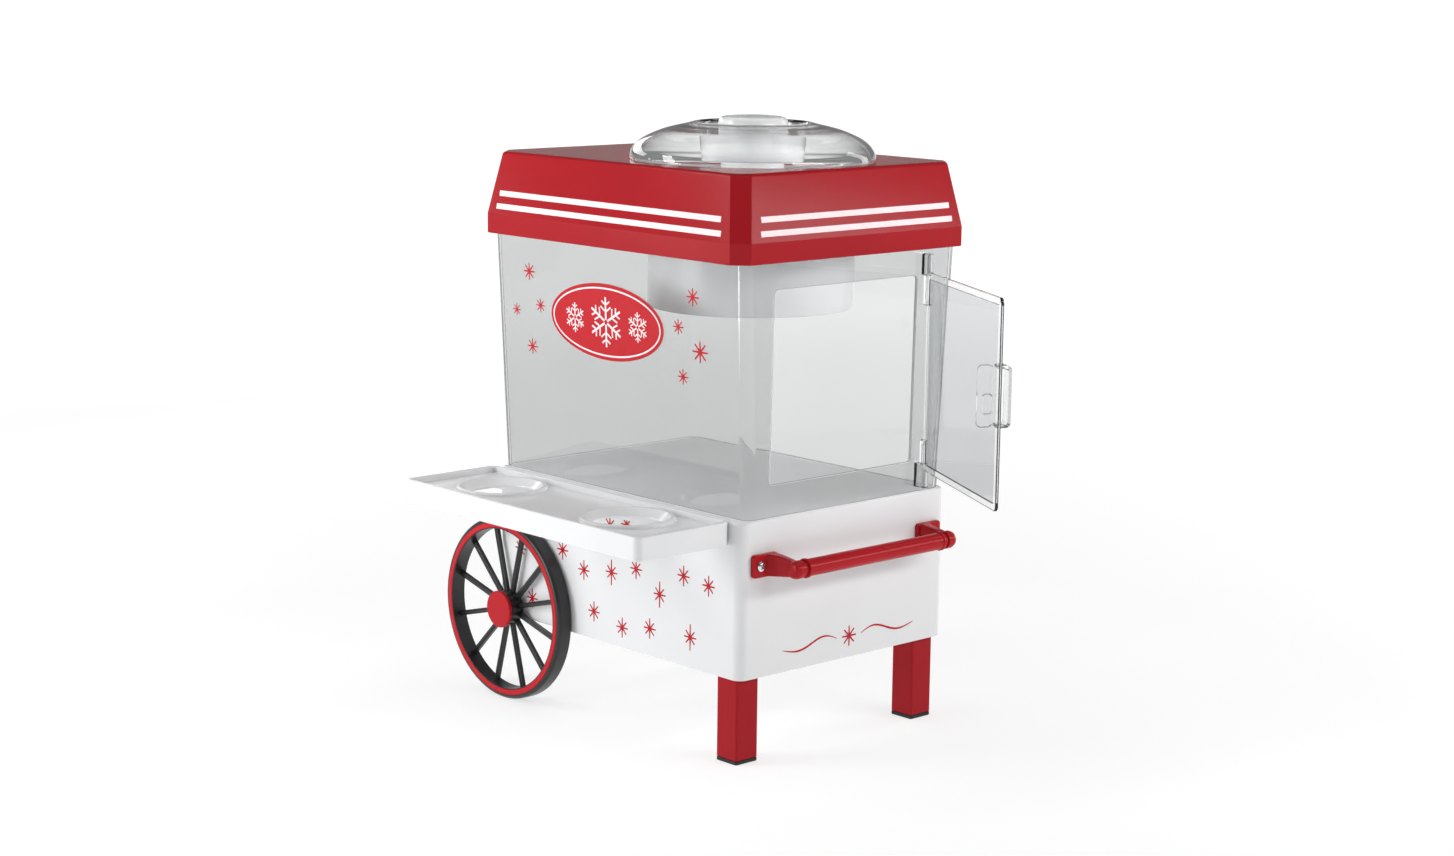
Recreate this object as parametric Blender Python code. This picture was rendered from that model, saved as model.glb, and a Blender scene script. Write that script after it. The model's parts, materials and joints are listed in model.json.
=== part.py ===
"""A countertop shaved ice machine shaped like a vendor's cart.

Frame: +Z up, the floor at z = 0 and the origin under the middle of the base. The door, the push bar
and the two legs are at the +X end. The cup shelf is on the -Y side, called left here, as a person
facing the door sees it. The two wheels carry the -X end.
"""

import math

import bmesh
import bpy
from mathutils import Matrix, Vector

# Driving dimensions, in metres.
GAP = 0.0003                      # clearance between neighbouring pieces
WALL = 0.0025                     # plastic wall thickness

BASE_HALF = (0.131, 0.100)        # half length and half depth of the white base
BASE_Z = (0.0602, 0.1691)         # underside and deck of the base
BASE_CORNER = 0.008
DECK = 0.003                      # thickness of the base's top
COVER_TOP_Z = BASE_Z[0] + WALL     # top face of the base's bottom cover

LEG_SIDE = 0.020
LEG_CORNER = 0.0012
LEG_CENTRE = (0.1145, 0.0858)
FOOT_HEIGHT = 0.0025

CABINET_Z = (0.1694, 0.3460)
CABINET_HALF_LOW = (0.131, 0.0943)
CABINET_HALF_HIGH = (0.134, 0.102)
CABINET_CORNER = 0.0085
OPENING_Y = (-0.0740, 0.0613)     # doorway in the +X wall
OPENING_Z = (0.1917, 0.3230)

HOOD_Z = (0.3413, 0.3555, 0.4000)  # skirt bottom, break line, flat top
HOOD_HALF_LOW = (0.1380, 0.1108)
HOOD_HALF_HIGH = (0.1295, 0.1031)
HOOD_CHAMFER = 0.010
HOOD_SCREWS = ((0.115, 0.088), (-0.115, 0.088), (-0.115, -0.088), (0.115, -0.088))
PAN_Z = (0.3463, 0.3488)          # plate that closes the hood from below

LID_CENTRE = (0.031, 0.0)         # axis of lid, hopper, blade and motor
LID_RADIUS = 0.0865
LID_SEAT_RADIUS = 0.0875
LID_RIM_Z = 0.3983
WELL_FLOOR_Z = 0.4043
WELL_FLOOR_UNDER_Z = 0.4023

HOPPER_OUTER = 0.0660
HOPPER_INNER = 0.0635
HOPPER_FLANGE = 0.0872
HOPPER_FLANGE_Z = (0.3960, 0.3980)
PLUNGER_PLACE = (LID_CENTRE[0] - 0.0853, LID_CENTRE[1])   # under the lid's rim
CHUTE_RADIUS = 0.0625

HOUSING_RADIUS = 0.0720           # white drum that hangs into the cabinet
HOUSING_Z = (0.2970, 0.3460)
MOTOR_RADIUS = 0.0312
MOTOR_Z = (0.3023, 0.3400)
MOTOR_CAP_Z = (0.3403, 0.3440)
SHAFT_RADIUS = 0.003
BLADE_DISC_RADIUS = 0.0615
BLADE_DISC_Z = (0.3510, 0.3530)

HINGE_AXIS = (0.1380, 0.0685)     # vertical axis of the door
HINGE_RADIUS = 0.0035
HINGE_PIN_RADIUS = 0.0012
DOOR_WIDTH = 0.150                # from the axis to the free edge
DOOR_Z = (0.1866, 0.3262)
DOOR_THICK = 0.0022
DOOR_OPEN_DEG = 62.0              # how far the door stands open at rest
PULL_Z = (0.2410, 0.2820)         # height of the door's pull and of its latch flange
PULL_Y = (-0.1460, -0.1360)       # these and the next four are in the closed door's own frame
PULL_DEPTH = 0.0080
FLANGE_Y = (-0.1412, -0.1387)
FLANGE_DEPTH = 0.0108
SLOT_CENTRE = (-0.0069, 0.2561)
SLOT_HALF = (0.0029, 0.0062)
KNUCKLES_FIXED = ((0.3235, 0.3380), (0.1735, 0.1903))
KNUCKLES_DOOR = ((0.3025, 0.3232), (0.1906, 0.2072))

WHEEL_RADIUS = 0.0670
WHEEL_X = -0.1110
WHEEL_BACK_Y = 0.1010             # inner face of each wheel
RIM_DEPTH = 0.0115
RIM_INNER = 0.0592
RIM_SHOULDER = 0.0030             # bevel round the rim's outer edge
STRIPE_RADII = (0.0600, 0.0638)   # red band in the rim's outer side
SPOKES = 12
AXLE_RADIUS = 0.003

SHELF_X = (-0.1337, 0.1213)
SHELF_Y = (-0.1823, -0.1003)
SHELF_Z = (0.1528, 0.1693)
SHELF_FLOOR_Z = (0.1628, 0.1650)
CUP_HOLE_X = (-0.0781, 0.0590)
CUP_HOLE_Y = -0.1375
CUP_HOLE_RADIUS = 0.0240          # at the bottom of its funnel
CUP_COLLAR_RADIUS = 0.0325
SHELF_SCREW_Z = 0.1575

BAR_X = 0.1570                    # axis of the push bar
BAR_Z = 0.1385
BAR_RADIUS = 0.0060
PLATE_Y = (0.0680, 0.0910)        # distance of a bracket's plate from the middle
SCREW_Y = 0.0845

SWITCH_Y = 0.040                  # power switch, on the -X slope of the hood
RELIEF_Y = -0.045                 # cord bushing, beside it
REAR_SLOPE_Z = 0.3760             # height of both on the slope
REAR_TILT = math.atan2(HOOD_HALF_LOW[0] - HOOD_HALF_HIGH[0], HOOD_Z[2] - HOOD_Z[1])
ROCKER_TILT_DEG = 10.0            # the rocker rests in its "off" position

# Colours: (red, green, blue), roughness, metallic, opacity.
WHITE_PLASTIC = ((0.86, 0.86, 0.87), 0.35, 0.0, 1.0)
RED_PLASTIC = ((0.50, 0.015, 0.025), 0.32, 0.0, 1.0)
BLACK_PLASTIC = ((0.012, 0.012, 0.013), 0.4, 0.0, 1.0)
CLEAR_PLASTIC = ((0.92, 0.94, 0.95), 0.05, 0.0, 0.3)
GREY_PLASTIC = ((0.45, 0.46, 0.48), 0.45, 0.0, 1.0)
STEEL = ((0.62, 0.62, 0.64), 0.28, 1.0, 1.0)
CHROME = ((0.78, 0.78, 0.80), 0.12, 1.0, 1.0)


def clear_scene():
    for old in list(bpy.data.objects):
        bpy.data.objects.remove(old, do_unlink=True)


def make_material(name, finish):
    colour, roughness, metallic, opacity = finish
    material = bpy.data.materials.new(name)
    material.use_nodes = True
    shader = material.node_tree.nodes["Principled BSDF"]
    shader.inputs["Base Color"].default_value = (*colour, 1.0)
    shader.inputs["Roughness"].default_value = roughness
    shader.inputs["Metallic"].default_value = metallic
    shader.inputs["Alpha"].default_value = opacity
    return material


def rounded_rectangle(half_x, half_y, radius, z, steps=4, centre=(0.0, 0.0)):
    """Points of a rectangle with round corners, counter-clockwise. One step gives a chamfer."""
    points = []
    for quarter in range(4):
        sign_x = 1 if quarter in (0, 3) else -1
        sign_y = 1 if quarter < 2 else -1
        corner_x = centre[0] + sign_x * (half_x - radius)
        corner_y = centre[1] + sign_y * (half_y - radius)
        for step in range(steps + 1):
            angle = math.radians(90) * (quarter + step / steps)
            points.append((corner_x + radius * math.cos(angle), corner_y + radius * math.sin(angle), z))
    return points


def circle(radius, z, count, centre=(0.0, 0.0)):
    points = []
    for step in range(count):
        angle = 2 * math.pi * step / count
        points.append((centre[0] + radius * math.cos(angle), centre[1] + radius * math.sin(angle), z))
    return points


def object_from_mesh(name, bm, finish):
    bmesh.ops.recalc_face_normals(bm, faces=bm.faces)
    mesh = bpy.data.meshes.new(name)
    bm.to_mesh(mesh)
    bm.free()
    mesh.shade_smooth()
    mesh.set_sharp_from_angle(angle=math.radians(35))
    piece = bpy.data.objects.new(name, mesh)
    bpy.context.scene.collection.objects.link(piece)
    if finish:
        mesh.materials.append(make_material(name, finish))
    return piece


def loft(name, loops, finish, closed=False):
    """A skin through loops of equal length: capped at both ends, or joined end to end as a tube wall."""
    bm = bmesh.new()
    rings = [[bm.verts.new(point) for point in loop] for loop in loops]
    count = len(rings[0])
    pairs = list(zip(rings, rings[1:]))
    if closed:
        pairs.append((rings[-1], rings[0]))
    else:
        bm.faces.new(rings[0][::-1])
        bm.faces.new(rings[-1])
    for lower, upper in pairs:
        for step in range(count):
            following = (step + 1) % count
            bm.faces.new((lower[step], lower[following], upper[following], upper[step]))
    return object_from_mesh(name, bm, finish)


def turned(name, profile, finish, count=32, centre=(0.0, 0.0), closed=False):
    """A solid of revolution about a vertical axis, from (radius, z) points."""
    loops = [circle(radius, z, count, centre) for radius, z in profile]
    return loft(name, loops, finish, closed)


def box(name, low, high, finish):
    centre = ((low[0] + high[0]) / 2, (low[1] + high[1]) / 2)
    half_x = (high[0] - low[0]) / 2
    half_y = (high[1] - low[1]) / 2
    loops = []
    for z in (low[2], high[2]):
        loops.append([(centre[0] + sx * half_x, centre[1] + sy * half_y, z)
                      for sx, sy in ((1, 1), (-1, 1), (-1, -1), (1, -1))])
    return loft(name, loops, finish)


def prism(name, outline, low, high, finish):
    """A flat outline of (x, y) points, raised from z = low to z = high."""
    loops = [[(x, y, z) for x, y in outline] for z in (low, high)]
    return loft(name, loops, finish)


def place(piece, location, rotation=(0.0, 0.0, 0.0), parent=None):
    piece.location = location
    piece.rotation_euler = rotation
    if parent:
        piece.parent = parent
    return piece


def boolean(target, tool, operation):
    """Joins a tool to a piece or cuts it away. The tool itself is only a guide."""
    modifier = target.modifiers.new(tool.name, "BOOLEAN")
    modifier.object = tool
    modifier.operation = operation
    modifier.solver = "EXACT"
    tool.hide_render = True
    tool.display_type = "WIRE"


def cut(target, tool):
    boolean(target, tool, "DIFFERENCE")


def join(target, tool):
    boolean(target, tool, "UNION")


def joint_empty(name, location, rotation=(0.0, 0.0, 0.0)):
    empty = bpy.data.objects.new(name, None)
    empty.location = location
    empty.rotation_euler = rotation
    bpy.context.scene.collection.objects.link(empty)
    return empty


def shifted(profile, inset):
    return (profile[0] - inset, profile[1] - inset)


def pan_screw(name, head_radius, head_height, shank_radius, shank_length):
    """A screw standing on its axis: the head's seat is at z = 0 and the shank points down."""
    profile = [
        (shank_radius, -shank_length),
        (shank_radius, 0.0),
        (head_radius, 0.0),
        (head_radius, head_height * 0.55),
        (head_radius * 0.6, head_height),
    ]
    return turned(name, profile, CHROME, count=12)


# Base, legs and axle.

def build_base():
    inner = shifted(BASE_HALF, WALL)
    loops = [
        rounded_rectangle(*inner, BASE_CORNER - WALL, BASE_Z[1] - DECK),
        rounded_rectangle(*inner, BASE_CORNER - WALL, BASE_Z[0]),
        rounded_rectangle(*BASE_HALF, BASE_CORNER, BASE_Z[0]),
        rounded_rectangle(*BASE_HALF, BASE_CORNER, BASE_Z[1]),
    ]
    base = loft("base_housing", loops, WHITE_PLASTIC)
    bore_radius = AXLE_RADIUS + 0.0005
    axle_hole = turned("axle_hole", [(bore_radius, -0.12), (bore_radius, 0.12)], None, 16)
    place(axle_hole, (WHEEL_X, 0, WHEEL_RADIUS), (math.radians(90), 0, 0))
    cut(base, axle_hole)
    for side, sign in (("left", -1), ("right", 1)):
        hole = turned("bar_screw_hole_" + side, [(0.0021, -0.010), (0.0021, 0.010)], None, 12)
        place(hole, (BASE_HALF[0], sign * SCREW_Y, BAR_Z), (0, math.radians(90), 0))
        cut(base, hole)
    for number, x in enumerate(CUP_HOLE_X, 1):
        hole = turned("shelf_screw_hole_%d" % number, [(0.0019, -0.006), (0.0019, 0.006)], None, 12)
        place(hole, (x, -BASE_HALF[1], SHELF_SCREW_Z), (math.radians(90), 0, 0))
        cut(base, hole)


def build_base_cover():
    half = shifted(BASE_HALF, WALL + GAP)
    corner = BASE_CORNER - WALL - GAP
    loops = [rounded_rectangle(*half, corner, z) for z in (BASE_Z[0], COVER_TOP_Z)]
    cover = loft("base_bottom_cover", loops, WHITE_PLASTIC)
    for side, sign in (("left", -1), ("right", 1)):
        hole = turned("cover_hole_" + side, [(0.0021, -0.006), (0.0021, 0.006)], None, 12)
        place(hole, (LEG_CENTRE[0], sign * LEG_CENTRE[1], BASE_Z[0]))
        cut(cover, hole)


def build_legs():
    half = LEG_SIDE / 2
    top = BASE_Z[0] - GAP
    for side, sign in (("left", -1), ("right", 1)):
        centre = (LEG_CENTRE[0], sign * LEG_CENTRE[1])
        leg_z = (FOOT_HEIGHT + GAP, top)
        leg_loops = [rounded_rectangle(half, half, LEG_CORNER, z, 2, centre) for z in leg_z]
        leg = loft("leg_" + side, leg_loops, RED_PLASTIC)
        bore = turned("leg_bore_" + side, [(0.0021, top - 0.012), (0.0021, top + 0.002)], None, 12, centre)
        cut(leg, bore)
        foot_loops = [rounded_rectangle(half, half, LEG_CORNER, z, 2, centre) for z in (0.0, FOOT_HEIGHT)]
        loft("foot_" + side, foot_loops, BLACK_PLASTIC)
        screw = pan_screw("leg_screw_" + side, 0.0036, 0.0022, 0.0018, 0.0125)
        place(screw, (*centre, COVER_TOP_Z + GAP))


def build_axle():
    reach = WHEEL_BACK_Y + RIM_DEPTH - 0.0008
    profile = [(AXLE_RADIUS - 0.0005, -reach), (AXLE_RADIUS, -reach + 0.0005),
               (AXLE_RADIUS, reach - 0.0005), (AXLE_RADIUS - 0.0005, reach)]
    axle = turned("wheel_axle", profile, STEEL, 16)
    place(axle, (WHEEL_X, 0, WHEEL_RADIUS), (math.radians(90), 0, 0))


# Wheels. Each is turned about its local z, which points away from the base.

def spoke_star(name):
    """Twelve spokes and their centre as one outline."""
    outline = []
    hub_radius = 0.0105
    tip_radius = RIM_INNER + 0.0015
    half_width = 0.0017
    for number in range(SPOKES):
        angle = 2 * math.pi * (number + 0.5) / SPOKES
        along = Vector((math.cos(angle), math.sin(angle)))
        across = Vector((-math.sin(angle), math.cos(angle)))
        for reach, offset in ((hub_radius, -1), (tip_radius, -1), (tip_radius, 1), (hub_radius, 1)):
            point = along * reach + across * half_width * offset
            outline.append((point.x, point.y))
    return prism(name, outline, 0.0020, 0.0056, None)


def build_wheel(side, sign):
    parent = joint_empty("wheel_axis_" + side, (WHEEL_X, sign * WHEEL_BACK_Y, WHEEL_RADIUS),
                         (math.radians(-90 * sign), 0, 0))
    edge = 0.0006
    front = RIM_DEPTH
    groove = front - 0.0008
    groove_in = STRIPE_RADII[0] - GAP
    groove_out = STRIPE_RADII[1] + GAP
    rim_profile = [
        (RIM_INNER, 0.0), (WHEEL_RADIUS - edge, 0.0), (WHEEL_RADIUS, edge),
        (WHEEL_RADIUS, front - RIM_SHOULDER), (WHEEL_RADIUS - 0.0006, front - 0.0013),
        (WHEEL_RADIUS - 0.0022, front), (groove_out, front), (groove_out, groove), (groove_in, groove),
        (groove_in, front), (RIM_INNER, front),
    ]
    wheel = turned("wheel_" + side, rim_profile, BLACK_PLASTIC, closed=True)
    place(wheel, (0, 0, 0), parent=parent)
    star = place(spoke_star("spokes_" + side), (0, 0, 0), parent=parent)
    join(wheel, star)
    hub_profile = [(0.0118, 0.0003), (0.0125, 0.0040), (0.0130, front - 0.0008), (0.0126, front)]
    hub = place(turned("hub_" + side, hub_profile, None, 24), (0, 0, 0), parent=parent)
    join(wheel, hub)
    bore_profile = [(AXLE_RADIUS + GAP, -0.002), (AXLE_RADIUS + GAP, 0.0085),
                    (0.0082, 0.0086), (0.0082, front + 0.002)]
    bore = place(turned("hub_bore_" + side, bore_profile, None, 16), (0, 0, 0), parent=parent)
    cut(wheel, bore)

    stripe_profile = [(radius, z) for z in (groove + GAP, front + 0.0002) for radius in STRIPE_RADII]
    stripe_profile[2:] = reversed(stripe_profile[2:])
    stripe = turned("wheel_stripe_" + side, stripe_profile, RED_PLASTIC, closed=True)
    place(stripe, (0, 0, 0), parent=parent)
    cap_profile = [(0.0134, front + GAP), (0.0136, front + 0.0020), (0.0128, front + 0.0028),
                   (0.0060, front + 0.0032)]
    place(turned("hub_cap_" + side, cap_profile, RED_PLASTIC, 24), (0, 0, 0), parent=parent)

    nut_profile = [(AXLE_RADIUS + GAP, 0.0090), (0.0070, 0.0090), (0.0072, 0.0096),
                   (0.0050, 0.0102), (AXLE_RADIUS + GAP, 0.0106)]
    nut = turned("axle_nut_" + side, nut_profile, STEEL, 16, closed=True)
    place(nut, (0, 0, 0), parent=parent)


# Clear cabinet and door.

def build_cabinet():
    low_inner = shifted(CABINET_HALF_LOW, WALL)
    high_inner = shifted(CABINET_HALF_HIGH, WALL)
    loops = [
        rounded_rectangle(*CABINET_HALF_LOW, CABINET_CORNER, CABINET_Z[0]),
        rounded_rectangle(*CABINET_HALF_HIGH, CABINET_CORNER, CABINET_Z[1]),
        rounded_rectangle(*high_inner, CABINET_CORNER - WALL, CABINET_Z[1]),
        rounded_rectangle(*low_inner, CABINET_CORNER - WALL, CABINET_Z[0]),
    ]
    cabinet = loft("cabinet_window", loops, CLEAR_PLASTIC, closed=True)
    half_y = (OPENING_Y[1] - OPENING_Y[0]) / 2
    half_z = (OPENING_Z[1] - OPENING_Z[0]) / 2
    middle = (CABINET_HALF_HIGH[0], sum(OPENING_Y) / 2, sum(OPENING_Z) / 2)
    doorway_loops = [rounded_rectangle(half_z, half_y, 0.003, z, 3) for z in (-0.012, 0.012)]
    doorway = loft("doorway", doorway_loops, None)
    place(doorway, middle, (0, math.radians(90), 0))
    cut(cabinet, doorway)
    for number, (low, high) in enumerate(KNUCKLES_FIXED, 1):
        knuckle = hinge_knuckle("fixed_knuckle_%d" % number, low, high)
        place(knuckle, (*HINGE_AXIS, 0))
        join(cabinet, knuckle)
        wall_x = cabinet_outer_x(low) - HINGE_AXIS[0]
        web = box("fixed_web_%d" % number, (wall_x - 0.0015, -0.0030, low), (0.0, 0.0030, high), None)
        place(web, (*HINGE_AXIS, 0))
        join(cabinet, web)
    for name, low, high in hinge_pin_spans():
        bore = turned(name + "_fixed_bore", [(HINGE_PIN_RADIUS + GAP, low - 0.001),
                                             (HINGE_PIN_RADIUS + GAP, high + 0.001)], None, 12)
        place(bore, (*HINGE_AXIS, 0))
        cut(cabinet, bore)


def cabinet_outer_x(z):
    """Where the leaning +X wall's outer face is at height z."""
    share = (z - CABINET_Z[0]) / (CABINET_Z[1] - CABINET_Z[0])
    return CABINET_HALF_LOW[0] + (CABINET_HALF_HIGH[0] - CABINET_HALF_LOW[0]) * share


def hinge_knuckle(name, low, high):
    return turned(name, [(HINGE_RADIUS, low), (HINGE_RADIUS, high)], None, 20)


def hinge_pin_spans():
    """Each pin runs from the far end of its fixed knuckle into the door's knuckle."""
    upper = ("hinge_pin_upper", KNUCKLES_DOOR[0][0] + 0.004, KNUCKLES_FIXED[0][1] - 0.001)
    lower = ("hinge_pin_lower", KNUCKLES_FIXED[1][0] + 0.001, KNUCKLES_DOOR[1][1] - 0.004)
    return (upper, lower)


def build_hinge_pins():
    for name, low, high in hinge_pin_spans():
        pin = turned(name, [(HINGE_PIN_RADIUS, low), (HINGE_PIN_RADIUS, high)], STEEL, 12)
        place(pin, (*HINGE_AXIS, 0))


def build_door():
    """The door in its hinge's frame: closed along local -y, its outer face towards local +x."""
    parent = joint_empty("door_axis", (*HINGE_AXIS, 0), (0, 0, math.radians(DOOR_OPEN_DEG)))
    face_in = -0.0028
    face_out = face_in + DOOR_THICK
    half_w = (DOOR_WIDTH - 0.0045) / 2
    half_z = (DOOR_Z[1] - DOOR_Z[0]) / 2
    panel = loft("door_panel", [rounded_rectangle(half_z, half_w, 0.003, x, 3) for x in (face_in, face_out)],
                 CLEAR_PLASTIC)
    middle_y = -(DOOR_WIDTH + 0.0045) / 2
    place(panel, (0, middle_y, sum(DOOR_Z) / 2), (0, math.radians(90), 0), parent)
    for number, (low, high) in enumerate(KNUCKLES_DOOR, 1):
        knuckle = place(hinge_knuckle("door_knuckle_%d" % number, low, high), (0, 0, 0), parent=parent)
        join(panel, knuckle)
        leaf = box("door_leaf_%d" % number, (face_in, -0.0080, low), (face_out, 0.0, high), None)
        place(leaf, (0, 0, 0), parent=parent)
        join(panel, leaf)
    for name, low, high in hinge_pin_spans():
        bore = turned(name + "_door_bore", [(HINGE_PIN_RADIUS + GAP, low - 0.001),
                                            (HINGE_PIN_RADIUS + GAP, high + 0.001)], None, 12)
        place(bore, (0, 0, 0), parent=parent)
        cut(panel, bore)
    build_door_handle(parent, face_out + GAP)
    build_door_latch(parent, face_in - GAP)


def build_door_handle(parent, seat):
    """A bridge-shaped pull beside the free edge, open towards the hinge and towards the edge."""
    wall = 0.0022
    front = seat + PULL_DEPTH
    low_z, high_z = PULL_Z
    outline = [
        (seat, low_z), (front, low_z), (front, high_z), (seat, high_z),
        (seat, high_z - wall), (front - wall, high_z - wall),
        (front - wall, low_z + wall), (seat, low_z + wall),
    ]
    loops = [[(x, y, z) for x, z in outline] for y in PULL_Y]
    place(loft("door_handle", loops, CLEAR_PLASTIC), (0, 0, 0), parent=parent)


def build_door_latch(parent, seat):
    """A flange on the inner face that fits inside the doorway's edge, with the slot for its catch."""
    middle_x = seat - FLANGE_DEPTH / 2
    middle_z = sum(PULL_Z) / 2
    half_z = (PULL_Z[1] - PULL_Z[0]) / 2
    flange_loops = []
    slot_loops = []
    for y in FLANGE_Y:
        ring = rounded_rectangle(FLANGE_DEPTH / 2, half_z, 0.0030, 0.0, 3, (middle_x, middle_z))
        flange_loops.append([(x, y, z) for x, z, _ in ring])
    for y in (FLANGE_Y[0] - 0.001, FLANGE_Y[1] + 0.001):
        ring = rounded_rectangle(*SLOT_HALF, 0.0016, 0.0, 3, SLOT_CENTRE)
        slot_loops.append([(x, y, z) for x, z, _ in ring])
    latch = place(loft("door_latch", flange_loops, CLEAR_PLASTIC), (0, 0, 0), parent=parent)
    slot = place(loft("latch_slot", slot_loops, None), (0, 0, 0), parent=parent)
    cut(latch, slot)


# Hood, its pan and its rear fittings.

def hood_inner_half(z):
    """Inner half sizes of the hood's sloped wall at height z."""
    share = (z - HOOD_Z[1]) / (HOOD_Z[2] - HOOD_Z[1])
    return tuple(low + (high - low) * share - WALL for low, high in zip(HOOD_HALF_LOW, HOOD_HALF_HIGH))


def build_hood():
    ceiling = HOOD_Z[2] - WALL
    chamfer_in = HOOD_CHAMFER - 0.001
    low_inner = shifted(HOOD_HALF_LOW, WALL)
    loops = [
        rounded_rectangle(*hood_inner_half(ceiling), chamfer_in, ceiling, 1),
        rounded_rectangle(*low_inner, chamfer_in, HOOD_Z[1], 1),
        rounded_rectangle(*low_inner, chamfer_in, HOOD_Z[0], 1),
        rounded_rectangle(*HOOD_HALF_LOW, HOOD_CHAMFER, HOOD_Z[0], 1),
        rounded_rectangle(*HOOD_HALF_LOW, HOOD_CHAMFER, HOOD_Z[1], 1),
        rounded_rectangle(*HOOD_HALF_HIGH, HOOD_CHAMFER, HOOD_Z[2], 1),
    ]
    hood = loft("hood_shell", loops, RED_PLASTIC)
    seat = turned("lid_seat", [(LID_SEAT_RADIUS, 0.392), (LID_SEAT_RADIUS, 0.405)], None, 32, LID_CENTRE)
    cut(hood, seat)
    for number, (x, y) in enumerate(HOOD_SCREWS, 1):
        boss_profile = [(0.004, PAN_Z[1] + GAP), (0.004, ceiling + 0.001)]
        join(hood, turned("hood_boss_%d" % number, boss_profile, None, 12, (x, y)))
        bore_profile = [(0.0018, PAN_Z[1] - 0.002), (0.0018, 0.358)]
        cut(hood, turned("boss_bore_%d" % number, bore_profile, None, 12, (x, y)))
    window = box("switch_hole", (-0.0100, -0.0065, -0.006), (0.0100, 0.0065, 0.006), None)
    rear_place(window, SWITCH_Y)
    cut(hood, window)
    relief_hole = turned("relief_hole", [(0.0046, -0.006), (0.0046, 0.006)], None, 16)
    rear_place(relief_hole, RELIEF_Y)
    cut(hood, relief_hole)


def rear_place(piece, y, lift=0.0, parent=None):
    """Puts a piece's local z = lift on the hood's -X slope, with local z pointing out of it."""
    share = (REAR_SLOPE_Z - HOOD_Z[1]) / (HOOD_Z[2] - HOOD_Z[1])
    x = -(HOOD_HALF_LOW[0] + (HOOD_HALF_HIGH[0] - HOOD_HALF_LOW[0]) * share)
    normal = Vector((-math.cos(REAR_TILT), 0, math.sin(REAR_TILT)))
    point = Vector((x, y, REAR_SLOPE_Z)) + normal * lift
    return place(piece, point, (0, REAR_TILT - math.radians(90), 0), parent)


def build_pan():
    half = shifted(HOOD_HALF_LOW, WALL + GAP)
    loops = [rounded_rectangle(*half, HOOD_CHAMFER, z, 1) for z in PAN_Z]
    pan = loft("hood_underpan", loops, WHITE_PLASTIC)
    chute = turned("chute_hole", [(CHUTE_RADIUS, 0.340), (CHUTE_RADIUS, 0.355)], None, 32, LID_CENTRE)
    cut(pan, chute)
    for number, (x, y) in enumerate(HOOD_SCREWS, 1):
        hole = turned("pan_hole_%d" % number, [(0.0018, 0.340), (0.0018, 0.355)], None, 12, (x, y))
        cut(pan, hole)
        screw = pan_screw("hood_screw_%d" % number, 0.0034, 0.0020, 0.0015, 0.0100)
        place(screw, (x, y, PAN_Z[0] - GAP), (math.radians(180), 0, 0))


def build_switch():
    """A rocker in a frame that clips into the hood, and the cord's bushing."""
    frame_loops = [
        rounded_rectangle(0.0112, 0.0078, 0.001, GAP, 2),
        rounded_rectangle(0.0106, 0.0072, 0.001, 0.0018, 2),
        rounded_rectangle(0.0082, 0.0049, 0.0006, 0.0018, 2),
        rounded_rectangle(0.0082, 0.0049, 0.0006, -0.0110, 2),
        rounded_rectangle(0.0097, 0.0062, 0.0006, -0.0110, 2),
        rounded_rectangle(0.0097, 0.0062, 0.0006, GAP, 2),
    ]
    frame = loft("switch_frame", frame_loops, BLACK_PLASTIC, closed=True)
    rear_place(frame, SWITCH_Y)
    pivot = joint_empty("switch_axis", (0, 0, 0))
    rear_place(pivot, SWITCH_Y, -0.0040)
    half_y = 0.0045
    outline = [(-0.0066, -0.0030), (0.0066, -0.0030), (0.0070, 0.0053), (0.0, 0.0046), (-0.0070, 0.0053)]
    loops = [[(x, y, z) for x, z in outline] for y in (-half_y, half_y)]
    rocker = loft("power_rocker", loops, RED_PLASTIC)
    place(rocker, (0, 0, 0), (0, math.radians(ROCKER_TILT_DEG), 0), pivot)
    relief_profile = [(0.0026, -0.0090), (0.0042, -0.0090), (0.0042, GAP), (0.0070, GAP), (0.0070, 0.0020),
                      (0.0048, 0.0030), (0.0040, 0.0120), (0.0026, 0.0120)]
    relief = turned("cord_bushing", relief_profile, BLACK_PLASTIC, 16, closed=True)
    rear_place(relief, RELIEF_Y)


# Ice path: hopper, blade, motor and its drum.

def build_hopper():
    foot = PAN_Z[1] + GAP
    profile = [
        (HOPPER_OUTER, foot), (HOPPER_OUTER, HOPPER_FLANGE_Z[0]), (HOPPER_FLANGE, HOPPER_FLANGE_Z[0]),
        (HOPPER_FLANGE, HOPPER_FLANGE_Z[1]), (HOPPER_INNER, HOPPER_FLANGE_Z[1]), (HOPPER_INNER, foot),
    ]
    hopper = turned("ice_hopper", profile, GREY_PLASTIC, 32, LID_CENTRE, closed=True)
    hole = turned("plunger_hole", [(0.0015, 0.390), (0.0015, 0.402)], None, 12, PLUNGER_PLACE)
    cut(hopper, hole)


def build_interlock():
    x, y = PLUNGER_PLACE
    top = HOPPER_FLANGE_Z[0] - GAP
    low = (x - 0.0060, y - 0.0100, top - 0.0110)
    high = (x + 0.0060, y + 0.0100, top)
    body = box("interlock_switch", low, high, BLACK_PLASTIC)
    well = turned("plunger_well", [(0.0015, top - 0.0050), (0.0015, top + 0.002)], None, 12, (x, y))
    cut(body, well)
    plunger = turned("interlock_plunger", [(0.0012, top - 0.0026), (0.0012, HOPPER_FLANGE_Z[1] - 0.0002),
                                           (0.0008, HOPPER_FLANGE_Z[1])], RED_PLASTIC, 12)
    place(plunger, (x, y, 0))


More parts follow.
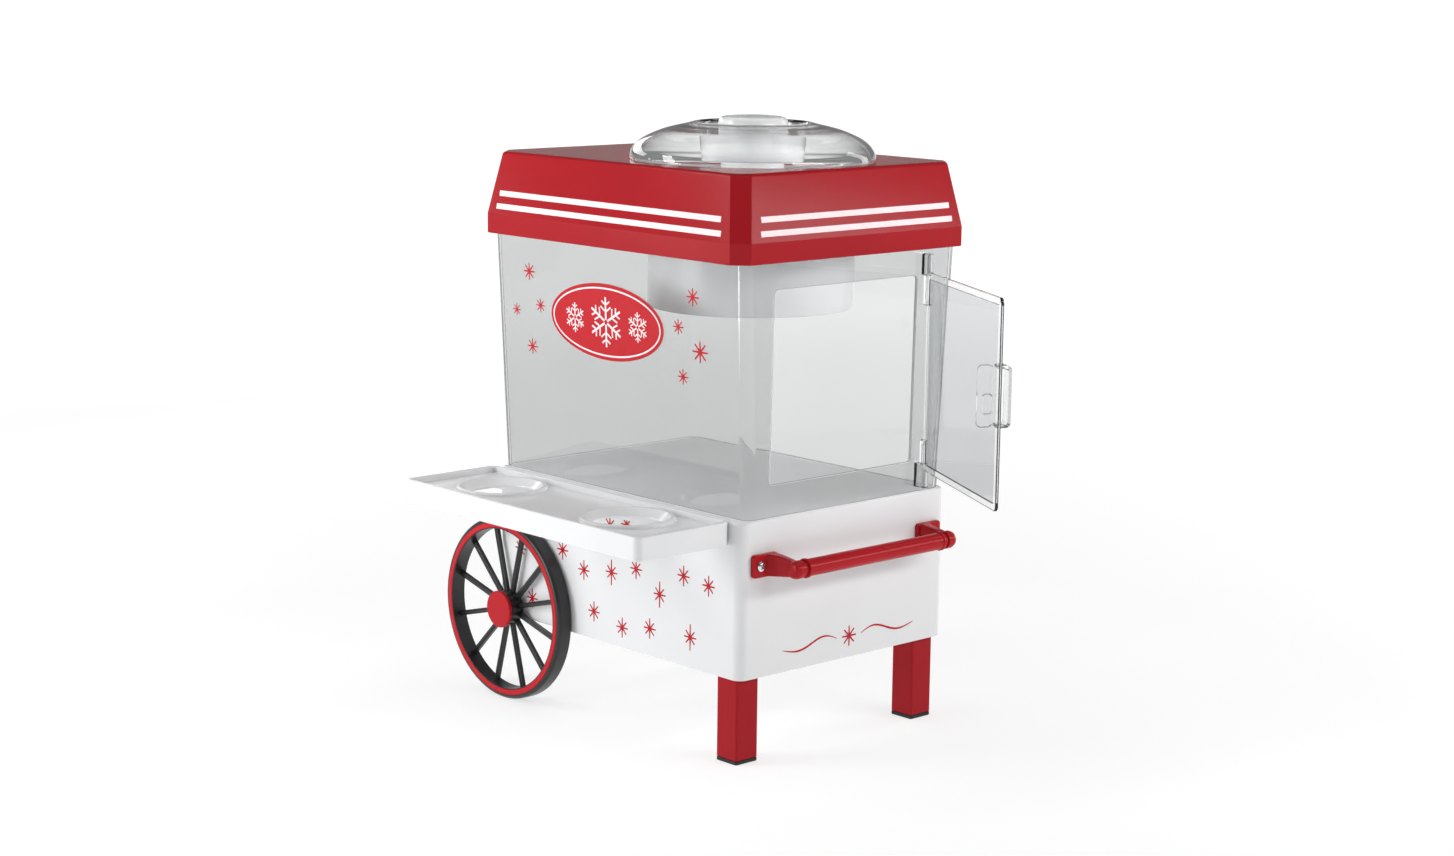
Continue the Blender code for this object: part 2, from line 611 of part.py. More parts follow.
def build_drum():
    inner = HOUSING_RADIUS - WALL
    profile = [(inner, HOUSING_Z[0]), (HOUSING_RADIUS, HOUSING_Z[0]), (HOUSING_RADIUS, HOUSING_Z[1]),
               (inner, HOUSING_Z[1])]
    turned("motor_housing", profile, WHITE_PLASTIC, 32, LID_CENTRE, closed=True)
    wall_in = MOTOR_RADIUS + 0.0004
    floor = MOTOR_Z[0] - GAP
    cup = [(wall_in, floor), (wall_in, 0.3250), (wall_in + 0.002, 0.3250), (wall_in + 0.002, floor - 0.003)]
    bracket = turned("motor_bracket", cup, WHITE_PLASTIC, 24)
    place(bracket, (*LID_CENTRE, 0))
    for number in range(3):
        angle = math.radians(90 + 120 * number)
        arm_end = inner - 3 * GAP
        arm = box("bracket_arm_%d" % number, (wall_in + 0.001, -0.004, floor - 0.003),
                  (arm_end, 0.004, floor + 0.009), None)
        place(arm, (*LID_CENTRE, 0), (0, 0, angle))
        join(bracket, arm)


def build_motor():
    edge = 0.0012
    can = [(MOTOR_RADIUS - edge, MOTOR_Z[0]), (MOTOR_RADIUS, MOTOR_Z[0] + edge), (MOTOR_RADIUS, MOTOR_Z[1])]
    place(turned("motor_can", can, STEEL, 24), (*LID_CENTRE, 0))
    low, high = MOTOR_CAP_Z
    cap = [(MOTOR_RADIUS, low), (MOTOR_RADIUS, low + 0.0015), (0.0120, low + 0.0018), (0.0100, high)]
    place(turned("motor_end_cap", cap, STEEL, 24), (*LID_CENTRE, 0))


def build_blade():
    parent = joint_empty("blade_axis", (*LID_CENTRE, 0))
    low, high = BLADE_DISC_Z
    disc = turned("blade_disc", [(BLADE_DISC_RADIUS, low), (BLADE_DISC_RADIUS, high)], STEEL, 32)
    place(disc, (0, 0, 0), parent=parent)
    bore_radius = SHAFT_RADIUS + GAP
    hole = turned("disc_hole", [(bore_radius, low - 0.001), (bore_radius, high + 0.001)], None, 16)
    place(hole, (0, 0, 0), parent=parent)
    cut(disc, hole)
    for number, angle in ((1, 0.0), (2, math.pi)):
        slot_low = (0.0140, -0.0030, low - 0.001)
        slot_high = (0.0560, 0.0030, high + 0.001)
        slot = box("disc_slot_%d" % number, slot_low, slot_high, None)
        place(slot, (0, 0, 0), (0, 0, angle), parent)
        cut(disc, slot)
        seat = high + GAP
        wedge = [(0.0005, seat), (0.0095, seat), (0.0095, high + 0.0016), (0.0065, high + 0.0024)]
        loops = [[(x, y, z) for y, z in wedge] for x in (0.0150, 0.0550)]
        blade = loft("ice_blade_%d" % number, loops, CHROME)
        place(blade, (0, 0, 0), (0, 0, angle), parent)
    shaft_profile = [(SHAFT_RADIUS, MOTOR_CAP_Z[1] + GAP), (SHAFT_RADIUS, 0.3600)]
    shaft = turned("drive_shaft", shaft_profile, STEEL, 16)
    place(shaft, (0, 0, 0), parent=parent)
    nut_profile = [(0.0080, high + GAP), (0.0080, high + 0.0045), (0.0066, high + 0.0055)]
    nut = turned("blade_nut", nut_profile, CHROME, 6)
    place(nut, (0, 0, 0), parent=parent)
    nut_hole = turned("nut_hole", [(bore_radius, high - 0.001), (bore_radius, high + 0.007)], None, 16)
    place(nut_hole, (0, 0, 0), parent=parent)
    cut(nut, nut_hole)


# Lid.

def build_lid():
    parent = joint_empty("lid_axis", (*LID_CENTRE, LID_RIM_Z))
    profile = [
        (0.0352, WELL_FLOOR_UNDER_Z), (0.0371, 0.4108), (0.0389, 0.4186), (0.0404, 0.4226), (0.0420, 0.4234),
        (0.0468, 0.4222), (0.0541, 0.4206), (0.0625, 0.4183), (0.0714, 0.4144), (0.0768, 0.4112),
        (0.0805, 0.4078), (0.0832, 0.4040), (0.0843, 0.4008), (LID_RADIUS - 0.0020, LID_RIM_Z),
        (LID_RADIUS, LID_RIM_Z), (LID_RADIUS, 0.4010), (0.0855, 0.4055), (0.0822, 0.4099), (0.0780, 0.4134),
        (0.0720, 0.4166), (0.0625, 0.4204), (0.0540, 0.4227), (0.0465, 0.4243), (0.0410, 0.4256),
        (0.0385, 0.4245), (0.0368, 0.4190), (0.0350, 0.4110), (0.0330, WELL_FLOOR_Z),
    ]
    dome = turned("lid_dome", [(radius, z - LID_RIM_Z) for radius, z in profile], CLEAR_PLASTIC)
    place(dome, (0, 0, 0), parent=parent)
    grip_profile = [
        (0.0165, WELL_FLOOR_Z + GAP), (0.0140, 0.4085), (0.0148, 0.4110), (0.0190, 0.4160), (0.0238, 0.4188),
        (0.0246, 0.4215), (0.0243, 0.4262), (0.0230, 0.4283), (0.0190, 0.4296), (0.0080, 0.4303),
    ]
    grip = turned("lid_grip", [(radius, z - LID_RIM_Z) for radius, z in grip_profile], CLEAR_PLASTIC, 24)
    place(grip, (0, 0, 0), parent=parent)
    screw_holes = (("dome_screw_hole", dome, 0.4000, 0.4050), ("grip_screw_hole", grip, 0.4040, 0.4130))
    for tool_name, target, low, high in screw_holes:
        hole = turned(tool_name, [(0.0021, low - LID_RIM_Z), (0.0021, high - LID_RIM_Z)], None, 12)
        place(hole, (0, 0, 0), parent=parent)
        cut(target, hole)
    pusher_top = WELL_FLOOR_UNDER_Z - GAP
    pusher_profile = [
        (0.0580, 0.3885), (0.0600, 0.3890), (0.0600, 0.3905), (0.0220, 0.3905), (0.0220, pusher_top),
        (0.0200, pusher_top), (0.0200, 0.3910),
    ]
    pusher = turned("ice_pusher", [(radius, z - LID_RIM_Z) for radius, z in pusher_profile], CLEAR_PLASTIC)
    place(pusher, (0, 0, 0), parent=parent)
    screw = pan_screw("lid_screw", 0.0038, 0.0022, 0.0018, 0.0090)
    place(screw, (0, 0, WELL_FLOOR_UNDER_Z - GAP - LID_RIM_Z), (math.radians(180), 0, 0), parent)


# Cup shelf and push bar.

def build_shelf():
    centre = (sum(SHELF_X) / 2, sum(SHELF_Y) / 2)
    half = ((SHELF_X[1] - SHELF_X[0]) / 2, (SHELF_Y[1] - SHELF_Y[0]) / 2)
    corner = 0.005
    rim = shifted(half, 0.003)
    loops = [
        rounded_rectangle(*rim, corner - 0.002, SHELF_FLOOR_Z[1], 3, centre),
        rounded_rectangle(*rim, corner - 0.002, SHELF_Z[1], 3, centre),
        rounded_rectangle(*half, corner, SHELF_Z[1], 3, centre),
        rounded_rectangle(*half, corner, SHELF_Z[0], 3, centre),
        rounded_rectangle(*shifted(half, WALL), corner - 0.002, SHELF_Z[0], 3, centre),
        rounded_rectangle(*shifted(half, WALL), corner - 0.002, SHELF_FLOOR_Z[0], 3, centre),
    ]
    shelf = loft("cup_shelf", loops, WHITE_PLASTIC)
    for number, x in enumerate(CUP_HOLE_X, 1):
        place_xy = (x, CUP_HOLE_Y)
        hole = turned("cup_hole_%d" % number, [(0.0275, 0.150), (0.0275, 0.172)], None, 24, place_xy)
        cut(shelf, hole)
        collar = [
            (CUP_HOLE_RADIUS, 0.1618), (CUP_HOLE_RADIUS + 0.0024, 0.1618), (CUP_COLLAR_RADIUS, 0.1638),
            (CUP_COLLAR_RADIUS, 0.1676), (CUP_COLLAR_RADIUS - 0.0031, 0.1676), (CUP_HOLE_RADIUS, 0.1634),
        ]
        join(shelf, turned("cup_collar_%d" % number, collar, None, 24, place_xy, closed=True))
        screw_hole = turned("shelf_bore_%d" % number, [(0.0017, -0.004), (0.0017, 0.004)], None, 12)
        place(screw_hole, (x, SHELF_Y[1], SHELF_SCREW_Z), (math.radians(90), 0, 0))
        cut(shelf, screw_hole)
        screw = pan_screw("shelf_screw_%d" % number, 0.0034, 0.0020, 0.0014, 0.0050)
        place(screw, (x, -(BASE_HALF[1] - WALL - GAP), SHELF_SCREW_Z), (math.radians(-90), 0, 0))


def build_push_bar():
    ring_start = 0.0640
    spigot_end = 0.0740
    half = [(BAR_RADIUS, ring_start), (0.0067, ring_start + 0.0003), (0.0067, 0.0665), (0.0050, 0.0668),
            (0.0050, 0.0694), (0.0040, 0.0694), (0.0040, spigot_end)]
    profile = [(radius, -y) for radius, y in reversed(half)] + half
    bar = turned("handle_bar", profile, RED_PLASTIC, 16)
    place(bar, (BAR_X, 0, BAR_Z), (math.radians(90), 0, 0))
    for side, sign in (("left", -1), ("right", 1)):
        build_bracket(side, sign)


def build_bracket(side, sign):
    """A plate on the base, an arm that reaches out, and a domed socket for the bar's end."""
    back = BASE_HALF[0] + GAP
    front = back + 0.003
    bottom = BAR_Z - 0.0080
    top = BAR_Z + 0.0078
    plate = box("handle_bracket_" + side, (back, min(sign * PLATE_Y[0], sign * PLATE_Y[1]), bottom),
                (front, max(sign * PLATE_Y[0], sign * PLATE_Y[1]), top), RED_PLASTIC)
    inner, outer = 0.0698, 0.0755
    arm_loops = []
    for x, half_z in ((front - 0.001, 0.0077), (BAR_X - 0.0035, 0.0052)):
        corners = ((inner, half_z), (outer, half_z), (outer, -half_z), (inner, -half_z))
        arm_loops.append([(x, sign * y, BAR_Z + z) for y, z in corners])
    arm = loft("bracket_arm_" + side, arm_loops, None)
    join(plate, arm)
    socket_profile = [(0.0062, 0.0697), (0.0063, 0.0740), (0.0055, 0.0768), (0.0030, 0.0783)]
    socket = turned("bracket_socket_" + side, socket_profile, None, 20)
    place(socket, (BAR_X, 0, BAR_Z), (math.radians(-90 * sign), 0, 0))
    join(plate, socket)
    bore = turned("socket_bore_" + side, [(0.0043, 0.0680), (0.0043, 0.0744)], None, 16)
    place(bore, (BAR_X, 0, BAR_Z), (math.radians(-90 * sign), 0, 0))
    cut(plate, bore)
    hole = turned("plate_hole_" + side, [(0.0021, -0.008), (0.0021, 0.008)], None, 12)
    place(hole, (front, sign * SCREW_Y, BAR_Z), (0, math.radians(90), 0))
    cut(plate, hole)
    screw = pan_screw("handle_screw_" + side, 0.0036, 0.0020, 0.0018, 0.0090)
    place(screw, (front + GAP, sign * SCREW_Y, BAR_Z), (0, math.radians(90), 0))


def main():
    clear_scene()
    build_base()
    build_base_cover()
    build_legs()
    build_axle()
    build_wheel("left", -1)
    build_wheel("right", 1)
    build_cabinet()
    build_hinge_pins()
    build_door()
    build_hood()
    build_pan()
    build_switch()
    build_hopper()
    build_interlock()
    build_drum()
    build_motor()
    build_blade()
    build_lid()
    build_shelf()
    build_push_bar()
    bpy.context.view_layer.update()


main()
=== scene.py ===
"""The looks of a cart-shaped shaved ice machine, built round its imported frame.

Metres, +Z up, in the frame's own axes: +X is the door end and -Y the cup shelf's side. Pieces are
placed from the boxes of the CAD nodes and from the record's joints.
"""

import json
import math

import bmesh
import bpy
from mathutils import Matrix, Vector


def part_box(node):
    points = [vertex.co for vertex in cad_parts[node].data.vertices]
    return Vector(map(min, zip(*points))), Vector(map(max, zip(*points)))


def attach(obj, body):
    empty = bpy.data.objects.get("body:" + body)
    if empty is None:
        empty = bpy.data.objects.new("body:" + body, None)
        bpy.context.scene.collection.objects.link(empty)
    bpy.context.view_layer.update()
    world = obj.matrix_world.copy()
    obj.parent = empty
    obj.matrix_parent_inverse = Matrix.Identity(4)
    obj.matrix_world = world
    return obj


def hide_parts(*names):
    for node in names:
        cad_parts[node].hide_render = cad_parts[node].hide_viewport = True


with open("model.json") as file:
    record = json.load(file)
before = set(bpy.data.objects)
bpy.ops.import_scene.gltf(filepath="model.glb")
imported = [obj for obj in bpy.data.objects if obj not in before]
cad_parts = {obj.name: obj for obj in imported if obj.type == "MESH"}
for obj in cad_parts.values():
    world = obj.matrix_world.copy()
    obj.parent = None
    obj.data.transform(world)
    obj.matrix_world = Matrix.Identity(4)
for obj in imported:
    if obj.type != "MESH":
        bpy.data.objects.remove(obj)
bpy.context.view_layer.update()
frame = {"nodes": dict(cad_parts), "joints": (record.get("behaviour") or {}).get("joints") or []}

JOINTS = {joint["name"]: joint for joint in frame["joints"]}

# Sizes that the nodes' boxes don't give.
GAP = 0.0003
WALL = 0.0025
BASE_CORNER = 0.008
DECK = 0.003
CABINET_CORNER = 0.0085
CABINET_HALF_LOW = (0.131, 0.0943)
CABINET_HALF_HIGH = (0.134, 0.102)
DOORWAY_Y = (-0.0740, 0.0613)
DOORWAY_Z = (0.1917, 0.3230)
DOORWAY_CORNER = 0.003
HOOD_BREAK_Z = 0.3555
HOOD_HALF_HIGH = (0.1295, 0.1031)
HOOD_CHAMFER = 0.010
LID_CENTRE = (0.031, 0.0)
LID_SEAT_RADIUS = 0.0875
WELL_RADIUS = 0.0335
WELL_FLOOR_Z = (0.4023, 0.4043)
# Inside this radius the lid is painted with pale light.
WELL_WALL_RADIUS = 0.0368         # inside it the lid looks milky
HINGE_RADIUS = 0.0035
HINGE_BORE = 0.0015
WHEEL_RADIUS = 0.0670
RIM_INNER = 0.0592
BAND_RADII = (0.0600, 0.0638)
SPOKES = 12
SHELF_FLOOR_Z = (0.1628, 0.1650)
CUP_HOLE_X = (-0.0781, 0.0590)
CUP_HOLE_Y = -0.1375
BAR_RADIUS = 0.0060
BRACKET_PLATE = 0.0030

# Boxes of the nodes that pieces are placed by.
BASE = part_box("base_housing")
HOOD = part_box("hood_shell")
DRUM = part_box("motor_housing")
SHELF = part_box("cup_shelf")
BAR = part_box("handle_bar")
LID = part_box("lid_dome")
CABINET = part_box("cabinet_window")
CABINET_LEAN = math.atan2(CABINET_HALF_HIGH[1] - CABINET_HALF_LOW[1], CABINET[1].z - CABINET[0].z)

# The door in its own frame: closed along -y, its outer face towards +x, the hinge on the z axis.
HINGE = JOINTS["door_hinge"]["pos_m"]
DOOR_OPEN = -math.radians(JOINTS["door_hinge"]["range_deg"][0])
DOOR_PLACE = Matrix.Translation((HINGE[0], HINGE[1], 0)) @ Matrix.Rotation(DOOR_OPEN, 4, "Z")
DOOR_FACES = (-0.0028, -0.0006)   # inner and outer
FIXED_KNUCKLES = ((0.3235, 0.3380), (0.1735, 0.1903))
DOOR_KNUCKLES = ((0.3025, 0.3232), (0.1906, 0.2072))
SLOT_CENTRE = (-0.0069, 0.2561)   # the latch slot's x and z
SLOT_HALF = (0.0029, 0.0062)

# Fittings on the hood's -X slope.
REAR_TILT = math.atan2(HOOD[1].x - HOOD_HALF_HIGH[0], HOOD[1].z - HOOD_BREAK_Z)
REAR_SLOPE_Z = 0.3760
SWITCH_Y = 0.040
CORD_Y = -0.045

# Printed decoration.
INK = 0.00015                     # how far it stands proud
INK_FOOT = 0.00002                # where it starts, just clear of the wall
STRIPE_Z = (0.3704, 0.3612)
STRIPE_WIDTH = 0.0039
STRIPE_MARGIN = 0.0085
STAR_UPRIGHT = (0.0072, 0.0092)   # half height of a plain and of a tall star
STAR_REACH = 0.0062               # length of the other rays
STAR_STROKE = 0.0012
BASE_STARS = (                    # x, z, and 1 for the tall ones
    (-0.1039, 0.1118, 0), (-0.0902, 0.0770, 0), (-0.0555, 0.1190, 0), (-0.0316, 0.1085, 0),
    (-0.0014, 0.1122, 1), (0.0250, 0.1194, 0), (-0.0203, 0.0804, 0), (0.0105, 0.0747, 0),
    (0.0398, 0.0798, 0), (0.0499, 0.1058, 1), (0.0745, 0.1234, 0), (0.0998, 0.1209, 0),
    (0.0817, 0.0818, 1), (0.0150, 0.1490, 0), (-0.0033, 0.1455, 0),
)
CABINET_STARS = (                 # x, z, size
    (-0.0927, 0.3160, 1.0), (-0.1085, 0.2870, 0.72), (-0.0811, 0.2926, 0.80), (-0.0917, 0.2620, 0.92),
    (0.0816, 0.3152, 1.0), (0.0663, 0.2935, 0.85), (0.0878, 0.2787, 1.2), (0.0700, 0.2598, 0.85),
)
BADGE = (-0.0085, 0.2885)         # centre of the badge on the cabinet's side
BADGE_HALF = (0.0600, 0.0268)

# Studio. The sky's stops are (sine of elevation + 1) / 2 and grey level.
CAMERA_AZIMUTH = math.radians(47.20)
CAMERA_ELEVATION = math.radians(10.10)
CAMERA_ROLL = math.radians(0.72)
CAMERA_DISTANCE = 1.8304
CAMERA_TARGET = Vector((0.0687, -0.0562, 0.2200))
CAMERA_LENS = 66.0                # millimetres, on a 36 mm sensor
FLOOR_REACH = 60.0
SKY_AROUND = ((0.0, 0.60), (0.500, 0.60), (0.530, 0.42), (0.570, 0.22), (0.70, 0.12), (0.905, 0.12),
              (0.940, 0.70))
SKY_BEHIND = ((0.0, 0.95), (0.513, 0.95), (0.535, 0.22), (0.700, 0.16), (0.905, 0.20), (0.940, 0.70))
SOFT_BOXES = {                    # degrees from the camera, distance, height, (width, length), watts
    "left_box": (-78, 0.95, 0.56, (0.20, 1.10), 7.8),
    "right_box": (62, 0.95, 0.58, (0.16, 1.00), 5.2),
    "left_strip": (-97, 0.95, 0.40, (0.05, 0.55), 0.35),
    "rear_left_box": (-144, 1.4, 0.75, (0.30, 1.20), 4.0),
    "rear_right_box": (122, 1.4, 0.75, (0.30, 1.20), 4.0),
}


# Mesh tools.

def rounded_path(corners, closed=False, steps=4):
    """Turns a path of (a, b, radius) corners into points, each corner becoming an arc of its radius."""
    points = []
    count = len(corners)
    for number, (a, b, radius) in enumerate(corners):
        is_end = not closed and number in (0, count - 1)
        if radius <= 0 or is_end:
            points.append((a, b))
            continue
        here = Vector((a, b))
        before = (Vector(corners[number - 1][:2]) - here).normalized()
        after = (Vector(corners[(number + 1) % count][:2]) - here).normalized()
        angle = before.angle(after)
        reach = radius / math.tan(angle / 2)
        centre = here + (before + after).normalized() * (radius / math.sin(angle / 2))
        start = here + before * reach - centre
        end = here + after * reach - centre
        turn = (math.pi - angle) * (1 if start.cross(end) > 0 else -1)
        for step in range(steps + 1):
            point = centre + Matrix.Rotation(turn * step / steps, 2) @ start
            points.append((point.x, point.y))
    return points


def smooth_curve(points, steps=6):
    """A Catmull-Rom curve through the points."""
    padded = [points[0], *points, points[-1]]
    curve = []
    for number in range(len(points) - 1):
        p0, p1, p2, p3 = [Vector(point) for point in padded[number:number + 4]]
        for step in range(steps):
            t = step / steps
            point = 0.5 * (2 * p1 + (p2 - p0) * t + (2 * p0 - 5 * p1 + 4 * p2 - p3) * t ** 2
                           + (3 * p1 - p0 - 3 * p2 + p3) * t ** 3)
            curve.append(tuple(point))
    curve.append(tuple(points[-1]))
    return curve


def rounded_rectangle(half_x, half_y, radius, z, steps=8, centre=(0.0, 0.0)):
    radius = max(radius, 0.0004)
    corners = [(sx * half_x, sy * half_y, radius) for sx, sy in ((1, 1), (-1, 1), (-1, -1), (1, -1))]
    return [(centre[0] + x, centre[1] + y, z) for x, y in rounded_path(corners, True, steps)]


def circle(radius, z, count=96, centre=(0.0, 0.0)):
    turns = [2 * math.pi * step / count for step in range(count)]
    return [(centre[0] + radius * math.cos(a), centre[1] + radius * math.sin(a), z) for a in turns]


def add_ring(bm, points):
    return [bm.verts.new(point) for point in points]


def add_bands(bm, rings, closed=False):
    """Walls between rings of equal length, and from the last to the first if closed."""
    pairs = list(zip(rings, rings[1:]))
    if closed:
        pairs.append((rings[-1], rings[0]))
    for lower, upper in pairs:
        for step in range(len(lower)):
            following = (step + 1) % len(lower)
            bm.faces.new((lower[step], lower[following], upper[following], upper[step]))


def add_plate(bm, *rings):
    """A flat face inside the first ring, with the other rings as its holes."""
    edges = []
    for ring in rings:
        for step, vertex in enumerate(ring):
            pair = (vertex, ring[(step + 1) % len(ring)])
            edges.append(bm.edges.get(pair) or bm.edges.new(pair))
    bmesh.ops.triangle_fill(bm, use_beauty=True, edges=edges)


def finish_mesh(name, bm, material, sharp=40):
    """Makes the object. Faces are smooth, apart from edges sharper than the angle."""
    bmesh.ops.recalc_face_normals(bm, faces=bm.faces)
    mesh = bpy.data.meshes.new(name)
    bm.to_mesh(mesh)
    bm.free()
    mesh.shade_smooth()
    mesh.set_sharp_from_angle(angle=math.radians(sharp))
    if material:
        mesh.materials.append(material)
    piece = bpy.data.objects.new(name, mesh)
    bpy.context.scene.collection.objects.link(piece)
    return piece


def loft(name, loops, material, closed=False, sharp=40):
    bm = bmesh.new()
    rings = [add_ring(bm, loop) for loop in loops]
    add_bands(bm, rings, closed)
    if not closed:
        bm.faces.new(rings[0])
        bm.faces.new(rings[-1])
    return finish_mesh(name, bm, material, sharp)


def turned(name, profile, material, count=96, centre=(0.0, 0.0), closed=False):
    """A solid of revolution about a vertical axis, from (radius, z) points."""
    return loft(name, [circle(r, z, count, centre) for r, z in profile], material, closed)


def prism(name, outline, low, high):
    """A flat outline of (x, y) points raised from low to high."""
    return loft(name, [[(x, y, z) for x, y in outline] for z in (low, high)], None)


def block(name, low, high):
    """A box that cuts another piece or becomes part of it."""
    outline = [(low[0], low[1]), (high[0], low[1]), (high[0], high[1]), (low[0], high[1])]
    return prism(name, outline, low[2], high[2])


def apply_all(piece):
    """Turns the modifiers into mesh."""
    graph = bpy.context.evaluated_depsgraph_get()
    mesh = bpy.data.meshes.new_from_object(piece.evaluated_get(graph))
    piece.modifiers.clear()
    piece.data = mesh


def combine(piece, tool, operation):
    modifier = piece.modifiers.new("combine", "BOOLEAN")
    modifier.object = tool
    modifier.operation = operation
    modifier.solver = "EXACT"
    modifier.material_mode = "TRANSFER" if tool.data.materials else "INDEX"
    apply_all(piece)
    bpy.data.objects.remove(tool)
    piece.data.shade_smooth()
    piece.data.set_sharp_from_angle(angle=math.radians(40))


def cut(piece, tool):
    combine(piece, tool, "DIFFERENCE")


def join(piece, tool):
    combine(piece, tool, "UNION")


def soften(piece, width, segments, angle):
    """Small round edges with shading that stays even on the flats beside them."""
    piece.data.set_sharp_from_angle(angle=math.pi)
    bevel = piece.modifiers.new("round_edges", "BEVEL")
    bevel.width = width
    bevel.segments = segments
    bevel.limit_method = "ANGLE"
    bevel.angle_limit = math.radians(angle)
    return even(piece)


def even(piece):
    """Shading weighted by face area, so that flats look flat beside their round edges."""
    normals = piece.modifiers.new("even_normals", "WEIGHTED_NORMAL")
    normals.keep_sharp = True
    return piece


def moved(piece, matrix):
    piece.data.transform(matrix)
    return piece


def show(piece, body, slot, *replaced):
    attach(piece, body)
    if replaced:
        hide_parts(*replaced)
    return piece


# Materials.

def new_material(name):
    material = bpy.data.materials.new(name)
    material.use_nodes = True
    nodes = material.node_tree.nodes
    return material, nodes, material.node_tree.links, nodes["Principled BSDF"]


def noise(nodes, links, scale, detail=2.0, stretch=(1.0, 1.0, 1.0)):
    where = nodes.new("ShaderNodeTexCoord")
    mapping = nodes.new("ShaderNodeMapping")
    mapping.inputs["Scale"].default_value = stretch
    texture = nodes.new("ShaderNodeTexNoise")
    texture.inputs["Scale"].default_value = scale
    texture.inputs["Detail"].default_value = detail
    links.new(where.outputs["Object"], mapping.inputs["Vector"])
    links.new(mapping.outputs["Vector"], texture.inputs["Vector"])
    return texture.outputs["Fac"]


def tone(nodes, links, shader, colour, spread, source):
    """Base colour that wanders a little either side of the colour."""
    ramp = nodes.new("ShaderNodeValToRGB")
    ramp.color_ramp.elements[0].position = 0.3
    ramp.color_ramp.elements[1].position = 0.7
    ramp.color_ramp.elements[0].color = (*[c * (1 - spread) for c in colour], 1.0)
    ramp.color_ramp.elements[1].color = (*[min(1.0, c * (1 + spread)) for c in colour], 1.0)
    links.new(source, ramp.inputs["Fac"])
    links.new(ramp.outputs["Color"], shader.inputs["Base Color"])


def spread_roughness(nodes, links, shader, roughness, spread, source):
    span = nodes.new("ShaderNodeMapRange")
    span.inputs["To Min"].default_value = roughness - spread
    span.inputs["To Max"].default_value = roughness + spread
    links.new(source, span.inputs["Value"])
    links.new(span.outputs["Result"], shader.inputs["Roughness"])


def bump(nodes, links, shader, source, strength, depth, under=None):
    node = nodes.new("ShaderNodeBump")
    node.inputs["Strength"].default_value = strength
    node.inputs["Distance"].default_value = depth
    links.new(source, node.inputs["Height"])
    if under:
        links.new(under, node.inputs["Normal"])
    links.new(node.outputs["Normal"], shader.inputs["Normal"])
    return node.outputs["Normal"]


def moulded_plastic(name, colour, roughness, mottle=0.02, waviness=0.03, grain=0.05, gloss=0.5):
    """Injection-moulded plastic: slow sink waves, a fine grain and slightly uneven gloss."""
    material, nodes, links, shader = new_material(name)
    tone(nodes, links, shader, colour, mottle, noise(nodes, links, 14.0))
    spread_roughness(nodes, links, shader, roughness, 0.02, noise(nodes, links, 60.0, 2.0))
    waves = bump(nodes, links, shader, noise(nodes, links, 18.0, 0.0), waviness, 0.0010)
    bump(nodes, links, shader, noise(nodes, links, 1600.0), grain, 0.00012, waves)
    shader.inputs["Specular IOR Level"].default_value = gloss
    return material


def painted_corner_shade(nodes, links, shader, tint, rim):
    """Painted shade: blends from the tint to the rim's dark tint where the surface turns away, standing in
    for the dark edges of clear plastic.
    """
    facing = nodes.new("ShaderNodeLayerWeight")
    facing.inputs["Blend"].default_value = 0.5
    ramp = nodes.new("ShaderNodeValToRGB")
    for element, position, colour in zip(ramp.color_ramp.elements, (0.34, 0.52), (tint, rim)):
        element.position = position
        element.color = (*colour, 1.0)
    links.new(facing.outputs["Facing"], ramp.inputs["Fac"])
    links.new(ramp.outputs["Color"], shader.inputs["Base Color"])


def clear_plastic(name, tint, waviness=0.04, rim=None):
    """Clear moulded plastic with faint flow waves. rim is a painted shade: the dark tint where a curved
    corner turns away.
    """
    material, nodes, links, shader = new_material(name)
    if rim:
        painted_corner_shade(nodes, links, shader, tint, rim)
    else:
        tone(nodes, links, shader, tint, 0.012, noise(nodes, links, 11.0))
    bump(nodes, links, shader, noise(nodes, links, 17.0, 1.0), waviness, 0.0009)
    shader.inputs["Roughness"].default_value = 0.02
    shader.inputs["IOR"].default_value = 1.49
    shader.inputs["Transmission Weight"].default_value = 1.0
    return material


def pale_painted_light(name, tint, clear):
    """Painted light: the narrow edges of clear plastic, made pale and milky for the light from inside them.
    """
    material, nodes, links, shader = new_material(name)
    tone(nodes, links, shader, tint, 0.03, noise(nodes, links, 90.0, 3.0))
    spread_roughness(nodes, links, shader, 0.16, 0.05, noise(nodes, links, 300.0))
    shader.inputs["IOR"].default_value = 1.49
    shader.inputs["Transmission Weight"].default_value = clear
    return material


def printed_ink(name, colour):
    material, nodes, links, shader = new_material(name)
    tone(nodes, links, shader, colour, 0.05, noise(nodes, links, 220.0, 3.0))
    spread_roughness(nodes, links, shader, 0.38, 0.05, noise(nodes, links, 400.0))
    shader.inputs["Specular IOR Level"].default_value = 0.2
    return material


def worked_metal(name, colour, roughness, stretch):
    """Metal with fine marks drawn out along one direction."""
    material, nodes, links, shader = new_material(name)
    marks = noise(nodes, links, 500.0, 3.0, stretch)
    tone(nodes, links, shader, colour, 0.10, marks)
    spread_roughness(nodes, links, shader, roughness, 0.07, marks)
    bump(nodes, links, shader, marks, 0.12, 0.00008)
    shader.inputs["Metallic"].default_value = 1.0
    return material


def rubber(name, colour):
    material, nodes, links, shader = new_material(name)
    tone(nodes, links, shader, colour, 0.25, noise(nodes, links, 300.0, 4.0))
    spread_roughness(nodes, links, shader, 0.68, 0.08, noise(nodes, links, 500.0))
    bump(nodes, links, shader, noise(nodes, links, 1200.0), 0.25, 0.0002)
    return material


